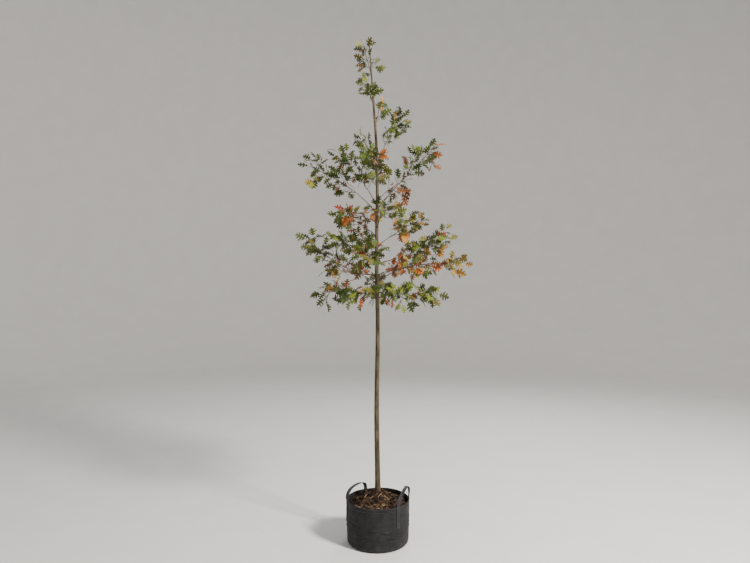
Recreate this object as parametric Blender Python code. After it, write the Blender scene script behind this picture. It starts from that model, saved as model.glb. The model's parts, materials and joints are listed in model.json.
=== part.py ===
"""A young oak grown as a clear-stemmed standard, standing in a soft round grow bag with two straps.

All sizes are in metres and +Z is up. The origin is the centre of the bag's flat underside,
and the front of the tree faces -Y. The stem, the boughs and the leaf masses are separate
solids, and so are the bag, its two carrying straps and the compost that fills it.
"""

import math
import random
from collections import namedtuple

import bmesh
import bpy
import numpy as np
from mathutils import Vector

# Space left between solids that touch
GAP = 0.0003

# Grow bag
BAG_HEIGHT = 0.278
RIM_RADIUS = 0.200
FOOT_RADIUS = 0.1960
FOOT_ROUNDING = 0.022
ROUNDING_STEPS = 3
BAG_WALL = 0.003
BAG_FLOOR = 0.004
HEM_WALL = 0.0055
HEM_HEIGHT = 0.028
HEM_STEP = 0.002
RIM_ROUNDING = 0.0015
BAG_SIDES = 32

# Carrying straps: where each end is sewn round the rim, in degrees, and how its arch stands
STRAP_WIDTH = 0.023
STRAP_THICKNESS = 0.004
STRAP_TAIL = 0.132
STRAP_TAIL_STEPS = 3
STRAP_ARCH_STEPS = 16
Strap = namedtuple("Strap", "name front_end rear_end rise lean")
STRAPS = [
    Strap("strap_left", 193, 114, 0.068, 0.000),
    Strap("strap_right", -52, 10, 0.094, 0.014),
]

# Compost under bark chips, heaped round the foot of the stem
COMPOST_EDGE_DEPTH = 0.032
MOUND_HEIGHT = 0.070
MOUND_SPREAD = 0.082
MOUND_EDGE_POWER = 4
COMPOST_RINGS = 6
STEM_RECESS = 0.005
RECESS_CLEARANCE = 0.004
RECESS_SIDES = 16
CUTTER_HEIGHT = 0.05

# Stem: it stands a little behind the bag's centre, wavers, and leans left towards its tip
STEM_BACK = 0.024
STEM_LEFT = 0.0045
STEM_TOP = 3.270
STEM_TIP_RADIUS = 0.0022
STEM_RADIUS = 0.0178
STEM_TAPER = 0.62
FLARE = 0.006
FLARE_HEIGHT = 0.026
FLARE_LOBES = 5
FLARE_LOBE_DEPTH = 0.10
WAVER = 0.0034
WAVER_LENGTH = 1.05
WAVER_CREST = 0.3
WAVER_DEPTH_LENGTH = 1.47
LEAN_FROM = 2.0
LEAN = 0.058
LEAN_POWER = 2.5
STEM_SIDES = 10
STEM_RINGS = 40
STEM_RING_CROWDING = 1.35

# Boughs and the stems of the masses that carry on from them
BOUGH_SIDES = 6
BOUGH_RINGS = 4
PATH_STEPS = 24
SEAT_STEPS = 48
SEAT_REACH = 0.25
SEAT_HALVINGS = 40
STEEPEST_START = 70
NEARLY_UPRIGHT = 0.05
BOUGH_ROOT_RADIUS = 0.0026
BOUGH_RADIUS_PER_METRE = 0.0046
BOUGH_TIP_RADIUS = 0.0021
BOUGH_WANDER = 7
MASS_STEM_TIP_RADIUS = 0.0013
MASS_STEM_SIDES = 3
MASS_STEM_RINGS = 4

# Twigs and leaves of a mass
TWIG_SPACING = 0.072
TWIG_STRETCH = (0.06, 0.92)
TWIG_SIDES = 3
TWIG_RADIUS = 0.0017
TWIG_TIP_RADIUS = 0.0012
TWIG_ANGLE = 52
TWIG_LENGTHS = (1.15, 0.60)
TWIG_LENGTH_SPREAD = (0.75, 1.15)
TWIG_FLATTEN = 0.62
TWIG_LIFT = (0.0, 0.45)
ANGLE_SPREAD = 12
LEAVES_PER_METRE = 16
LEAF_STRETCH = (0.35, 0.90)
LEAF_STRAY = 0.5
LEAF_CLOCK_SPREAD = 0.7
STEM_LEAF_SHARE = 0.5
SIDE_LEAF_SIZES = (0.80, 1.08)
TIP_LEAF_SIZES = (0.85, 1.15)
TIP_LEAVES = 3
TIP_LEAF_ANGLES = (8, 48)
TIP_ANGLE_SPREAD = 8
TIP_CLOCK_SPREAD = 0.5
TIP_LEAF_PLACE = 0.98
LEAF_LENGTH = 0.086
LEAF_WIDTH = 0.062
LEAF_THICKNESS = 0.0016
LEAF_CUP = 0.006
LEAF_BELLY = 0.46
LEAF_ANGLE = 55
LEAF_SINK = 0.0005
LEAF_FACES_UP = 0.45
LEAF_DROOP = 0.22
LEAF_TRIES = 4
TIP_LEAF_STEP = 0.06
GOLDEN_ANGLE = math.radians(137.5)

# Room that a mass keeps to itself, and the straight stretches that stand for curved limbs
SPACE_MARGIN = 0.004
LIMB_CLEARANCE = 0.010
LEAF_CLEARANCE = 0.011
TWIG_CLEARANCE = 0.004
MASS_STRETCHES = 8
BOUGH_STRETCHES = 6
CROWN_FOOT = 1.2
CROWN_TOP = 3.2
STEM_STRETCHES = 20

# foot: height on the stem. azimuth: degrees from +X towards +Y. reach and tip: where the
# mass's own stem ends, out from the stem and above the ground. kink: how much steeper it
# starts. bare: the share that is bough. spread: length of its side twigs.
Limb = namedtuple("Limb", "name foot azimuth reach tip kink bare spread tint")
BOUGHS = [
    Limb("low_left", 1.583, 190, 0.370, 1.612, 10, 0.22, 0.105, "green"),
    Limb("low_right", 1.570, 346, 0.390, 1.598, 14, 0.22, 0.105, "green"),
    Limb("low_front_right", 1.601, 306, 0.320, 1.562, 22, 0.24, 0.100, "green"),
    Limb("low_front_left", 1.622, 248, 0.290, 1.590, 20, 0.24, 0.100, "green"),
    Limb("low_back", 1.561, 84, 0.370, 1.650, 16, 0.24, 0.110, "green"),
    Limb("right_long", 1.675, 356, 0.560, 1.800, 26, 0.24, 0.110, "amber"),
    Limb("right_mid", 1.792, 14, 0.500, 1.975, -6, 0.26, 0.100, "green"),
    Limb("left_long", 1.722, 176, 0.460, 1.950, -30, 0.24, 0.105, "green"),
    Limb("left_inner", 1.660, 150, 0.320, 1.755, 20, 0.24, 0.110, "bronze"),
    Limb("front_mid", 1.753, 258, 0.330, 1.840, 24, 0.24, 0.105, "green"),
    Limb("right_inner", 1.714, 322, 0.310, 1.765, 18, 0.24, 0.105, "bronze"),
    Limb("back_mid", 1.805, 106, 0.390, 1.950, 20, 0.26, 0.110, "green"),
    Limb("back_right", 1.690, 46, 0.400, 1.790, 20, 0.26, 0.110, "amber"),
    Limb("left_dense", 1.820, 204, 0.290, 1.945, 16, 0.24, 0.105, "green"),
    Limb("right_high", 1.903, 8, 0.285, 2.085, 8, 0.20, 0.110, "amber"),
    Limb("left_small", 2.060, 190, 0.245, 2.115, 18, 0.28, 0.072, "bronze"),
    Limb("front_centre", 2.020, 284, 0.260, 2.130, 22, 0.24, 0.100, "green"),
    Limb("back_left", 1.960, 138, 0.320, 2.130, 18, 0.26, 0.105, "bronze"),
    Limb("left_upper", 2.110, 178, 0.440, 2.430, 22, 0.28, 0.100, "green"),
    Limb("left_rising", 2.170, 160, 0.265, 2.535, 8, 0.26, 0.085, "green"),
    Limb("right_upper", 2.151, 357, 0.375, 2.545, 4, 0.40, 0.090, "green"),
    Limb("right_red", 2.205, 30, 0.200, 2.350, 14, 0.20, 0.105, "bronze"),
    Limb("front_upper", 2.260, 266, 0.215, 2.480, 12, 0.26, 0.085, "green"),
    Limb("back_upper", 2.200, 96, 0.280, 2.470, 14, 0.28, 0.095, "green"),
    Limb("right_top", 2.440, 10, 0.185, 2.755, 14, 0.30, 0.110, "green"),
    Limb("left_top", 2.360, 208, 0.095, 2.600, 6, 0.20, 0.060, "green"),
]
SHOOTS = [
    Limb("leader_low", 2.690, 335, 0.040, 2.810, 4, 0.0, 0.045, "green"),
    Limb("leader_middle", 2.820, 190, 0.038, 3.000, 4, 0.0, 0.045, "green"),
    Limb("leader_high", 3.030, 168, 0.034, 3.212, 4, 0.0, 0.042, "green"),
]

# Base colour and roughness of each finish
FINISHES = {
    "bag_fabric": ((0.020, 0.022, 0.024), 0.82),
    "strap_fabric": ((0.024, 0.026, 0.028), 0.75),
    "compost": ((0.070, 0.040, 0.024), 0.95),
    "bark": ((0.115, 0.090, 0.058), 0.85),
    "green": ((0.070, 0.115, 0.022), 0.60),
    "bronze": ((0.230, 0.080, 0.024), 0.60),
    "amber": ((0.290, 0.190, 0.035), 0.60),
}


# Scene, materials and meshes


def clear_scene():
    for thing in list(bpy.data.objects):
        bpy.data.objects.remove(thing)


def finish_of(name):
    material = bpy.data.materials.get(name)
    if material is None:
        colour, roughness = FINISHES[name]
        material = bpy.data.materials.new(name)
        material.use_nodes = True
        shader = material.node_tree.nodes["Principled BSDF"]
        shader.inputs["Base Color"].default_value = (*colour, 1.0)
        shader.inputs["Roughness"].default_value = roughness
        shader.inputs["Metallic"].default_value = 0.0
    return material


def add_object(name, points, faces, finish, smooth_degrees=None, collection=None):
    """A named object with outward faces, made from points and the faces between them."""
    mesh = bpy.data.meshes.new(name)
    mesh.from_pydata([tuple(p) for p in points], [], faces)
    shape = bmesh.new()
    shape.from_mesh(mesh)
    bmesh.ops.recalc_face_normals(shape, faces=shape.faces)
    shape.to_mesh(mesh)
    shape.free()
    mesh.materials.append(finish_of(finish))
    if smooth_degrees is not None:
        mesh.shade_smooth()
        mesh.set_sharp_from_angle(angle=math.radians(smooth_degrees))
    made = bpy.data.objects.new(name, mesh)
    (collection or bpy.context.scene.collection).objects.link(made)
    return made


def skin(rings):
    """Points and faces of the closed skin over a row of rings. An end ring is capped flat."""
    points, faces, starts = [], [], []
    for ring in rings:
        starts.append(len(points))
        points.extend(ring)
    for ring, start in ((rings[0], starts[0]), (rings[-1], starts[-1])):
        if len(ring) > 1:
            faces.append(tuple(range(start, start + len(ring))))
    for (ring, start), (after, start_after) in zip(
        zip(rings, starts), zip(rings[1:], starts[1:])
    ):
        sides = max(len(ring), len(after))
        for i in range(sides):
            j = (i + 1) % sides
            if len(ring) == 1:
                faces.append((start, start_after + i, start_after + j))
            elif len(after) == 1:
                faces.append((start + i, start_after, start + j))
            else:
                faces.append((start + i, start_after + i, start_after + j, start + j))
    return points, faces


def circle(radius, height, sides):
    """A level ring round the Z axis, or the one point on it."""
    if radius == 0:
        return [Vector((0, 0, height))]
    turns = [2 * math.pi * i / sides for i in range(sides)]
    return [Vector((radius * math.cos(a), radius * math.sin(a), height)) for a in turns]


def apply_booleans(target):
    graph = bpy.context.evaluated_depsgraph_get()
    joined = bpy.data.meshes.new_from_object(target.evaluated_get(graph))
    target.modifiers.clear()
    target.data = joined


# Grow bag, straps and compost


def wall_radius(height):
    """Outer radius of the bag's tapered wall."""
    return FOOT_RADIUS + (RIM_RADIUS - FOOT_RADIUS) * height / BAG_HEIGHT


def foot_arc(inset):
    """Profile of the rounded foot, moved in from the outer skin."""
    centre = FOOT_RADIUS - FOOT_ROUNDING
    radius = FOOT_ROUNDING - inset
    arc = []
    for i in range(ROUNDING_STEPS + 1):
        a = math.radians(90) * i / ROUNDING_STEPS
        arc.append((centre + radius * math.sin(a), FOOT_ROUNDING - radius * math.cos(a)))
    return arc


def make_bag():
    hem_foot = BAG_HEIGHT - HEM_HEIGHT
    outside = [(0, 0), *foot_arc(0)]
    outside += [(wall_radius(z), z) for z in (BAG_HEIGHT / 2, BAG_HEIGHT - RIM_ROUNDING)]
    outside.append((RIM_RADIUS - RIM_ROUNDING, BAG_HEIGHT))
    inside = [
        (RIM_RADIUS - HEM_WALL + RIM_ROUNDING, BAG_HEIGHT),
        (RIM_RADIUS - HEM_WALL, BAG_HEIGHT - RIM_ROUNDING),
        (wall_radius(hem_foot) - HEM_WALL, hem_foot + HEM_STEP),
        (wall_radius(hem_foot) - BAG_WALL, hem_foot),
        *reversed(foot_arc(BAG_FLOOR)),
        (0, BAG_FLOOR),
    ]
    rings = [circle(r, z, BAG_SIDES) for r, z in outside + inside]
    add_object("grow_bag", *skin(rings), "bag_fabric", smooth_degrees=35)


def strap_path(strap):
    """Points, width directions and headings of a strap, sewn end to sewn end."""
    first, last = math.radians(strap.front_end), math.radians(strap.rear_end)
    facing = (first + last) / 2
    turn = 1 if last > first else -1
    offset = GAP + STRAP_THICKNESS / 2
    drops = [STRAP_TAIL * step / STRAP_TAIL_STEPS for step in range(STRAP_TAIL_STEPS + 1)]
    stations = [(0.0, BAG_HEIGHT - drop) for drop in reversed(drops)]
    stations += [(i / STRAP_ARCH_STEPS, BAG_HEIGHT) for i in range(1, STRAP_ARCH_STEPS)]
    stations += [(1.0, BAG_HEIGHT - drop) for drop in drops]
    out_first = Vector((math.cos(first), math.sin(first), 0))
    out_last = Vector((math.cos(last), math.sin(last), 0))
    outward = Vector((math.cos(facing), math.sin(facing), 0))
    path = []
    for share, height in stations:
        a = math.pi * share
        along = (1 - math.cos(a)) / 2
        radius = wall_radius(height) + offset
        point = out_first.lerp(out_last, along) * radius
        lift = math.sin(a)
        point += outward * strap.lean * lift
        point.z = height + strap.rise * lift
        swing = (math.radians(90) - abs(last - first) / 2) * (2 * share - 1)
        width_turn = facing - turn * swing
        path.append((point, Vector((math.cos(width_turn), math.sin(width_turn), 0))))
    return path


def make_strap(strap):
    path = strap_path(strap)
    rings = []
    for i, (point, across) in enumerate(path):
        before = path[max(i - 1, 0)][0]
        after = path[min(i + 1, len(path) - 1)][0]
        heading = (after - before).normalized()
        face = heading.cross(across).normalized()
        across = face.cross(heading)
        half_width = across * STRAP_WIDTH / 2
        half_face = face * STRAP_THICKNESS / 2
        rings.append(
            [
                point + half_width + half_face,
                point - half_width + half_face,
                point - half_width - half_face,
                point + half_width - half_face,
            ]
        )
    add_object(strap.name, *skin(rings), "strap_fabric", smooth_degrees=40)


def mound(x, y):
    """Height of the heaped compost above its edge."""
    foot = stem_point(0)
    away = math.hypot(x - foot.x, y - foot.y)
    return MOUND_HEIGHT * math.exp(-((away / MOUND_SPREAD) ** 2))


def compost_top():
    foot = stem_point(0)
    edge = BAG_HEIGHT - COMPOST_EDGE_DEPTH
    return edge + mound(foot.x, foot.y)


def stem_foot_height():
    """The flat cut under the stem, just inside the top of the mound."""
    return compost_top() - STEM_RECESS + GAP


def make_compost():
    edge = BAG_HEIGHT - COMPOST_EDGE_DEPTH
    arc = foot_arc(BAG_FLOOR + GAP)
    rings = [circle(r, z, BAG_SIDES) for r, z in (arc[0], arc[-1])]
    side = wall_radius(edge) - HEM_WALL - GAP
    for i in range(COMPOST_RINGS):
        radius = side * (1 - i / COMPOST_RINGS)
        rings.append(circle(radius, edge, BAG_SIDES))
    rings.append(circle(0, edge, BAG_SIDES))
    for ring in rings[-COMPOST_RINGS - 1 :]:
        for point in ring:
            rim_fade = 1 - (math.hypot(point.x, point.y) / side) ** MOUND_EDGE_POWER
            point.z += mound(point.x, point.y) * rim_fade
    body = add_object("compost", *skin(rings), "compost", smooth_degrees=60)
    recess_radius = STEM_RADIUS + FLARE + RECESS_CLEARANCE
    depth = compost_top() - STEM_RECESS
    foot = stem_point(0)
    shift = Vector((foot.x, foot.y, 0))
    levels = [depth, depth + CUTTER_HEIGHT]
    column = [[p + shift for p in circle(recess_radius, z, RECESS_SIDES)] for z in levels]
    cutter = add_object("recess_cutter", *skin(column), "compost")
    cutter.hide_render = True
    cutter.display_type = "WIRE"
    cut = body.modifiers.new("stem_recess", "BOOLEAN")
    cut.operation = "DIFFERENCE"
    cut.solver = "EXACT"
    cut.object = cutter
    bpy.context.view_layer.update()
    apply_booleans(body)
    bpy.data.objects.remove(cutter)


# Stem


def stem_point(height):
    """The middle of the stem at a height above the ground."""
    waver = WAVER * math.cos(2 * math.pi * (height - WAVER_CREST) / WAVER_LENGTH)
    lean_share = max(0.0, height - LEAN_FROM) / (STEM_TOP - LEAN_FROM)
    x = waver - STEM_LEFT - LEAN * lean_share**LEAN_POWER
    y = STEM_BACK + WAVER * math.sin(2 * math.pi * height / WAVER_DEPTH_LENGTH)
    return Vector((x, y, height))


def stem_radius(height):
    foot = stem_foot_height()
    share = min(1.0, max(0.0, (height - foot) / (STEM_TOP - foot)))
    taper = STEM_TIP_RADIUS + (STEM_RADIUS - STEM_TIP_RADIUS) * (1 - share) ** STEM_TAPER
    return taper + FLARE * math.exp(-(height - foot) / FLARE_HEIGHT)


def stem_ring(height):
    centre, radius = stem_point(height), stem_radius(height)
    flare = math.exp(-(height - stem_foot_height()) / FLARE_HEIGHT)
    ring = []
    for i in range(STEM_SIDES):
        a = 2 * math.pi * i / STEM_SIDES
        lobe = 1 - FLARE_LOBE_DEPTH * flare * (1 - math.cos(FLARE_LOBES * a)) / 2
        ring.append(centre + Vector((math.cos(a), math.sin(a), 0)) * radius * lobe)
    return ring


def make_stem():
    foot = stem_foot_height()
    shares = [(i / STEM_RINGS) ** STEM_RING_CROWDING for i in range(STEM_RINGS + 1)]
    rings = [stem_ring(foot + (STEM_TOP - foot) * share) for share in shares]
    add_object("stem", *skin(rings), "bark", smooth_degrees=50)


# Paths of boughs and twigs


def direction(azimuth, elevation):
    a, e = math.radians(azimuth), math.radians(elevation)
    return Vector((math.cos(a) * math.cos(e), math.sin(a) * math.cos(e), math.sin(e)))


def bezier(p0, p1, p2, p3, t):
    s = 1 - t
    return p0 * s**3 + p1 * 3 * s * s * t + p2 * 3 * s * t * t + p3 * t**3


def limb_path(limb):
    """The middle line of a limb, from the stem's middle to the tip of its mass."""
    chance = random.Random(limb.name)
    start = stem_point(limb.foot)
    end = stem_point(limb.tip) + direction(limb.azimuth, 0) * limb.reach
    end.z = limb.tip
    chord = end - start
    rise = math.degrees(math.atan2(chord.z, limb.reach))
    sweep = chance.uniform(-BOUGH_WANDER, BOUGH_WANDER)
    first = direction(limb.azimuth + sweep, min(STEEPEST_START, rise + limb.kink))
    last = direction(limb.azimuth - sweep, rise - limb.kink / 2)
    third = chord.length / 3
    controls = (start, start + first * third, end - last * third, end)
    return [bezier(*controls, i / PATH_STEPS) for i in range(PATH_STEPS + 1)]


def cut_path(path, first, last):
    """The stretch of a path between two shares of its steps."""
    a, b = round(first * PATH_STEPS), round(last * PATH_STEPS)
    return path[a : b + 1]


def headings(path):
    found = []
    for i in range(len(path)):
        before, after = path[max(i - 1, 0)], path[min(i + 1, len(path) - 1)]
        found.append((after - before).normalized())
    return found


def between(pair, share):
    return pair[0] + (pair[1] - pair[0]) * share


def point_on(path, share):
    """A point on a path and the heading there, by the share of its steps."""
    place = min(max(share, 0.0), 1.0) * (len(path) - 1)
    i = min(int(place), len(path) - 2)
    point = path[i].lerp(path[i + 1], place - i)
    return point, (path[i + 1] - path[i]).normalized()


def across_of(heading):
    """A level direction square to a heading."""
    level = Vector((0, 0, 1)).cross(heading)
    return level.normalized() if level.length > NEARLY_UPRIGHT else Vector((1, 0, 0))


def ring_round(centre, heading, radius, sides):
    across = across_of(heading)
    up = heading.cross(across).normalized()
    ring = []
    for i in range(sides):
        a = 2 * math.pi * i / sides
        ring.append(centre + (across * math.cos(a) + up * math.sin(a)) * radius)
    return ring


def tube(path, root_radius, tip_radius, sides):
    """Skin of a tapering tube with flat ends."""
    rings = []
    for i, (point, heading) in enumerate(zip(path, headings(path))):
        radius = root_radius + (tip_radius - root_radius) * i / (len(path) - 1)
        rings.append(ring_round(point, heading, radius, sides))
    return skin(rings)


def resample(path, count):
    return [point_on(path, i / count)[0] for i in range(count + 1)]


def clears_stem(point, clearance):
    centre = stem_point(point.z)
    away = math.hypot(point.x - centre.x, point.y - centre.y)
    return away > stem_radius(point.z) + clearance


def seat_on_stem(point, heading):
    """A point slid along a heading until it clears the stem's bark by the gap."""
    low, high = 0.0, SEAT_REACH
    for _ in range(SEAT_HALVINGS):
        middle = (low + high) / 2
        if clears_stem(point + heading * middle, GAP):
            high = middle
        else:
            low = middle
    return point + heading * high


def seated_tube(path, root_radius, tip_radius, sides, rings_wanted):
    """Skin of a tapering limb whose root is shaped to the stem that it grows from."""
    heading = (path[1] - path[0]).normalized()
    root = ring_round(path[0], heading, root_radius, sides)
    seated = [seat_on_stem(p, heading) for p in root]
    hub = seat_on_stem(path[0], heading)
    furthest = max((p - path[0]).dot(heading) for p in seated) + GAP
    fine = resample(path, SEAT_STEPS)
    begin = next(
        i / SEAT_STEPS
        for i, p in enumerate(fine)
        if (p - path[0]).length > furthest and clears_stem(p, root_radius + GAP)
    )
    rings = [[hub], seated]
    for i in range(rings_wanted + 1):
        share = begin + (1 - begin) * i / rings_wanted
        point, heading = point_on(path, share)
        radius = root_radius + (tip_radius - root_radius) * share
        rings.append(ring_round(point, heading, radius, sides))
    return skin(rings)


def root_radius_of(limb, path):
    length = sum((b - a).length for a, b in zip(path, path[1:]))
    return BOUGH_ROOT_RADIUS + BOUGH_RADIUS_PER_METRE * length


def make_bough(limb):
    path = limb_path(limb)
    radius = root_radius_of(limb, path)
    wood = cut_path(path, 0, limb.bare)
    tip_radius = BOUGH_TIP_RADIUS
    shape = seated_tube(wood, radius, tip_radius, BOUGH_SIDES, BOUGH_RINGS)
    add_object("bough_" + limb.name, *shape, "bark", smooth_degrees=50)


def mass_path(limb):
    """Middle line of a mass's own stem, from just past the bough's tip or the bark."""
    path = cut_path(limb_path(limb), limb.bare, 1)
    if limb.bare:
        path[0] = path[0] + headings(path)[0] * GAP
    return path


# Room for each mass


class Room:
    """Distances from points to every mass's stem, every bough and the main stem."""

    def __init__(self):
        self.names, starts, ends = [], [], []
        for limb in BOUGHS + SHOOTS:
            path = resample(mass_path(limb), MASS_STRETCHES)
            starts += path[:-1]
            ends += path[1:]
            self.names += [limb.name] * MASS_STRETCHES
        self.names = np.array(self.names)
        self.mass_lines = (np.array(starts), np.array(ends))
        starts, ends, thick = [], [], []
        for limb in BOUGHS:
            path = limb_path(limb)
            radii = (root_radius_of(limb, path), BOUGH_TIP_RADIUS)
            line = resample(cut_path(path, 0, limb.bare), BOUGH_STRETCHES)
            starts += line[:-1]
            ends += line[1:]
            thick += [between(radii, i / BOUGH_STRETCHES) for i in range(BOUGH_STRETCHES)]
        shares = [i / STEM_STRETCHES for i in range(STEM_STRETCHES + 1)]
        heights = [between((CROWN_FOOT, CROWN_TOP), share) for share in shares]
        line = [stem_point(z) for z in heights]
        starts += line[:-1]
        ends += line[1:]
        thick += [stem_radius(z) for z in heights[:-1]]
        self.limb_lines = (np.array(starts), np.array(ends))
        self.thick = np.array(thick)

    @staticmethod
    def distances(point, lines):
        starts, ends = lines
        run = ends - starts
        away = np.array(point) - starts
        share = np.clip((away * run).sum(1) / (run * run).sum(1), 0, 1)
        return np.linalg.norm(away - run * share[:, None], axis=1)

    def holds(self, points, name, clearance):
        """Whether points are in that mass's own room and clear of every limb."""
        mine = self.names == name
        for point in points:
            found = self.distances(point, self.mass_lines)
            if found[~mine].min() < found[mine].min() + SPACE_MARGIN:
                return False
            if (self.distances(point, self.limb_lines) - self.thick).min() < clearance:
                return False
        return True


# Leaves and twigs


def leaf_frame(heading, chance):
    """Across and normal directions of a blade that faces up more often than down."""
    face = Vector((0, 0, LEAF_FACES_UP))
    face += Vector([chance.uniform(-1, 1) for _ in range(3)])
    across = face.cross(heading)
    if across.length < NEARLY_UPRIGHT:
        across = across_of(heading)
    across.normalize()
    return across, heading.cross(across).normalized()


def leaf_corners(base, heading, across, normal, size):
    """Root, one side, tip, other side, and the upper and lower middle of a blade."""
    length, width = LEAF_LENGTH * size, LEAF_WIDTH * size
    middle = base + heading * length * LEAF_BELLY
    cup = normal * LEAF_CUP * size
    half_thickness = normal * LEAF_THICKNESS / 2
    return [
        base,
        middle + across * width / 2,
        base + heading * length,
        middle - across * width / 2,
        middle - cup + half_thickness,
        middle - cup - half_thickness,
    ]


LEAF_FACES = [
    (0, 1, 4),
    (1, 2, 4),
    (2, 3, 4),
    (3, 0, 4),
    (1, 0, 5),
    (2, 1, 5),
    (3, 2, 5),
    (0, 3, 5),
]


def leaf_samples(corners):
    """Points over a blade, close enough that a limb can't pass between them."""
    root, one, tip, other = corners[:4]
    middle = (corners[4] + corners[5]) / 2
    found = [one, other, tip, middle]
    found += [root.lerp(p, 0.5) for p in (one, other, middle)]
    found += [tip.lerp(p, 0.5) for p in (one, other, middle)]
    found += [middle.lerp(p, 0.5) for p in (one, other)]
    return found


def turned_from(heading, around, angle, flatten):
    """A heading turned away from another by an angle, towards a point on the clock."""
    across = across_of(heading)
    up = heading.cross(across).normalized()
    side = across * math.cos(around) + up * math.sin(around) * flatten
    side.normalize()
    return (heading * math.cos(angle) + side * math.sin(angle)).normalized()


def twig_path(start, heading, length, chance):
    """A short straight twig that turns a little upwards."""
    lift = Vector((0, 0, chance.uniform(*TWIG_LIFT)))
    return [start, start + (heading + lift).normalized() * length]


def grow_mass(limb, room):
    """Twigs as paths and leaves as corner lists, grown from a mass's own stem."""
    chance = random.Random("mass " + limb.name)
    stem = mass_path(limb)
    length = sum((b - a).length for a, b in zip(stem, stem[1:]))
    twigs, leaves, taken = [], [], []

    def try_leaf(point, heading, around, angle, size):
        for attempt in range(LEAF_TRIES):
            turned = turned_from(heading, around + attempt, angle, TWIG_FLATTEN)
            turned = (turned - Vector((0, 0, LEAF_DROOP))).normalized()
            across, normal = leaf_frame(turned, chance)
            root = point - turned * LEAF_SINK
            corners = leaf_corners(root, turned, across, normal, size)
            samples = leaf_samples(corners)
            crowded = any((a - b).length < LEAF_CLEARANCE for a in samples for b in taken)
            if not crowded and room.holds(samples, limb.name, LIMB_CLEARANCE):
                taken.extend(samples)
                leaves.append(corners)
                return

    def leaves_along(path, run):
        count = max(1, round(run * LEAVES_PER_METRE))
        for k in range(count):
            share = between(LEAF_STRETCH, (k + chance.random() * LEAF_STRAY) / count)
            point, heading = point_on(path, share)
            around = k * math.pi + chance.uniform(-LEAF_CLOCK_SPREAD, LEAF_CLOCK_SPREAD)
            angle = math.radians(LEAF_ANGLE + chance.uniform(-ANGLE_SPREAD, ANGLE_SPREAD))
            try_leaf(point, heading, around, angle, chance.uniform(*SIDE_LEAF_SIZES))

    def leaves_at_tip(path, count):
        for k in range(count):
            point, heading = point_on(path, TIP_LEAF_PLACE - k * TIP_LEAF_STEP)
            stray = chance.uniform(-TIP_CLOCK_SPREAD, TIP_CLOCK_SPREAD)
            around = k * 2 * math.pi / count + stray
            tilt = chance.uniform(-TIP_ANGLE_SPREAD, TIP_ANGLE_SPREAD)
            angle = math.radians(TIP_LEAF_ANGLES[min(k, 1)] + tilt)
            try_leaf(point, heading, around, angle, chance.uniform(*TIP_LEAF_SIZES))

    count = max(2, round(length / TWIG_SPACING))
    clock = chance.uniform(0, 2 * math.pi)
    for i in range(count):
        share = between(TWIG_STRETCH, (i + 0.35) / count)
        point, heading = point_on(stem, share)
        clock += GOLDEN_ANGLE
        angle = math.radians(TWIG_ANGLE + chance.uniform(-ANGLE_SPREAD, ANGLE_SPREAD))
        away = turned_from(heading, clock, angle, TWIG_FLATTEN)
        run = limb.spread * between(TWIG_LENGTHS, share) * chance.uniform(*TWIG_LENGTH_SPREAD)
        twig = twig_path(point, away, run, chance)
        if not room.holds(twig[1:], limb.name, TWIG_CLEARANCE):
            continue
        twigs.append(twig)
        leaves_along(twig, run)
        leaves_at_tip(twig, TIP_LEAVES - 1)
    leaves_along(stem, length * STEM_LEAF_SHARE)
    leaves_at_tip(stem, TIP_LEAVES)
    return twigs, leaves


def make_mass(limb, room):
    """One solid: a stem with its twigs and leaves fused on by one union."""
    twigs, leaves = grow_mass(limb, room)
    stem = resample(mass_path(limb), MASS_STEM_RINGS)
    radii = (BOUGH_TIP_RADIUS, MASS_STEM_TIP_RADIUS)
    if limb.bare:
        shape = tube(stem, *radii, MASS_STEM_SIDES)
    else:
        shape = seated_tube(mass_path(limb), *radii, MASS_STEM_SIDES, MASS_STEM_RINGS)
    body = add_object("leaves_" + limb.name, *shape, limb.tint)
    pieces = bpy.data.collections.new("pieces")
    bpy.context.scene.collection.children.link(pieces)
    for twig in twigs:
        shape = tube(twig, TWIG_RADIUS, TWIG_TIP_RADIUS, TWIG_SIDES)
        add_object("twig", *shape, limb.tint, collection=pieces)
    for corners in leaves:
        add_object("leaf", corners, LEAF_FACES, limb.tint, collection=pieces)
    union = body.modifiers.new("fuse", "BOOLEAN")
    union.operation = "UNION"
    union.solver = "EXACT"
    union.operand_type = "COLLECTION"
    union.collection = pieces
    bpy.context.view_layer.update()
    apply_booleans(body)
    for piece in list(pieces.objects):
        bpy.data.objects.remove(piece)
    bpy.data.collections.remove(pieces)
    return len(leaves)


def main():
    clear_scene()
    make_bag()
    for strap in STRAPS:
        make_strap(strap)
    make_compost()
    make_stem()
    for limb in BOUGHS:
        make_bough(limb)
    room = Room()
    total = sum(make_mass(limb, room) for limb in BOUGHS + SHOOTS)
    print("leaves in the masses:", total)


main()
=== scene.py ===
"""Looks of a young oak standard in a soft round grow bag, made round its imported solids.

Sizes are in metres and +Z is up, as in the solids. The crown grows by the same seeded rule as
the solids' masses, and is carried on from there to finer twigs and to lobed leaves.
"""

import json
import math
import random
from collections import namedtuple

import bpy
import numpy as np
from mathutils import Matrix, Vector, noise

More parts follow.
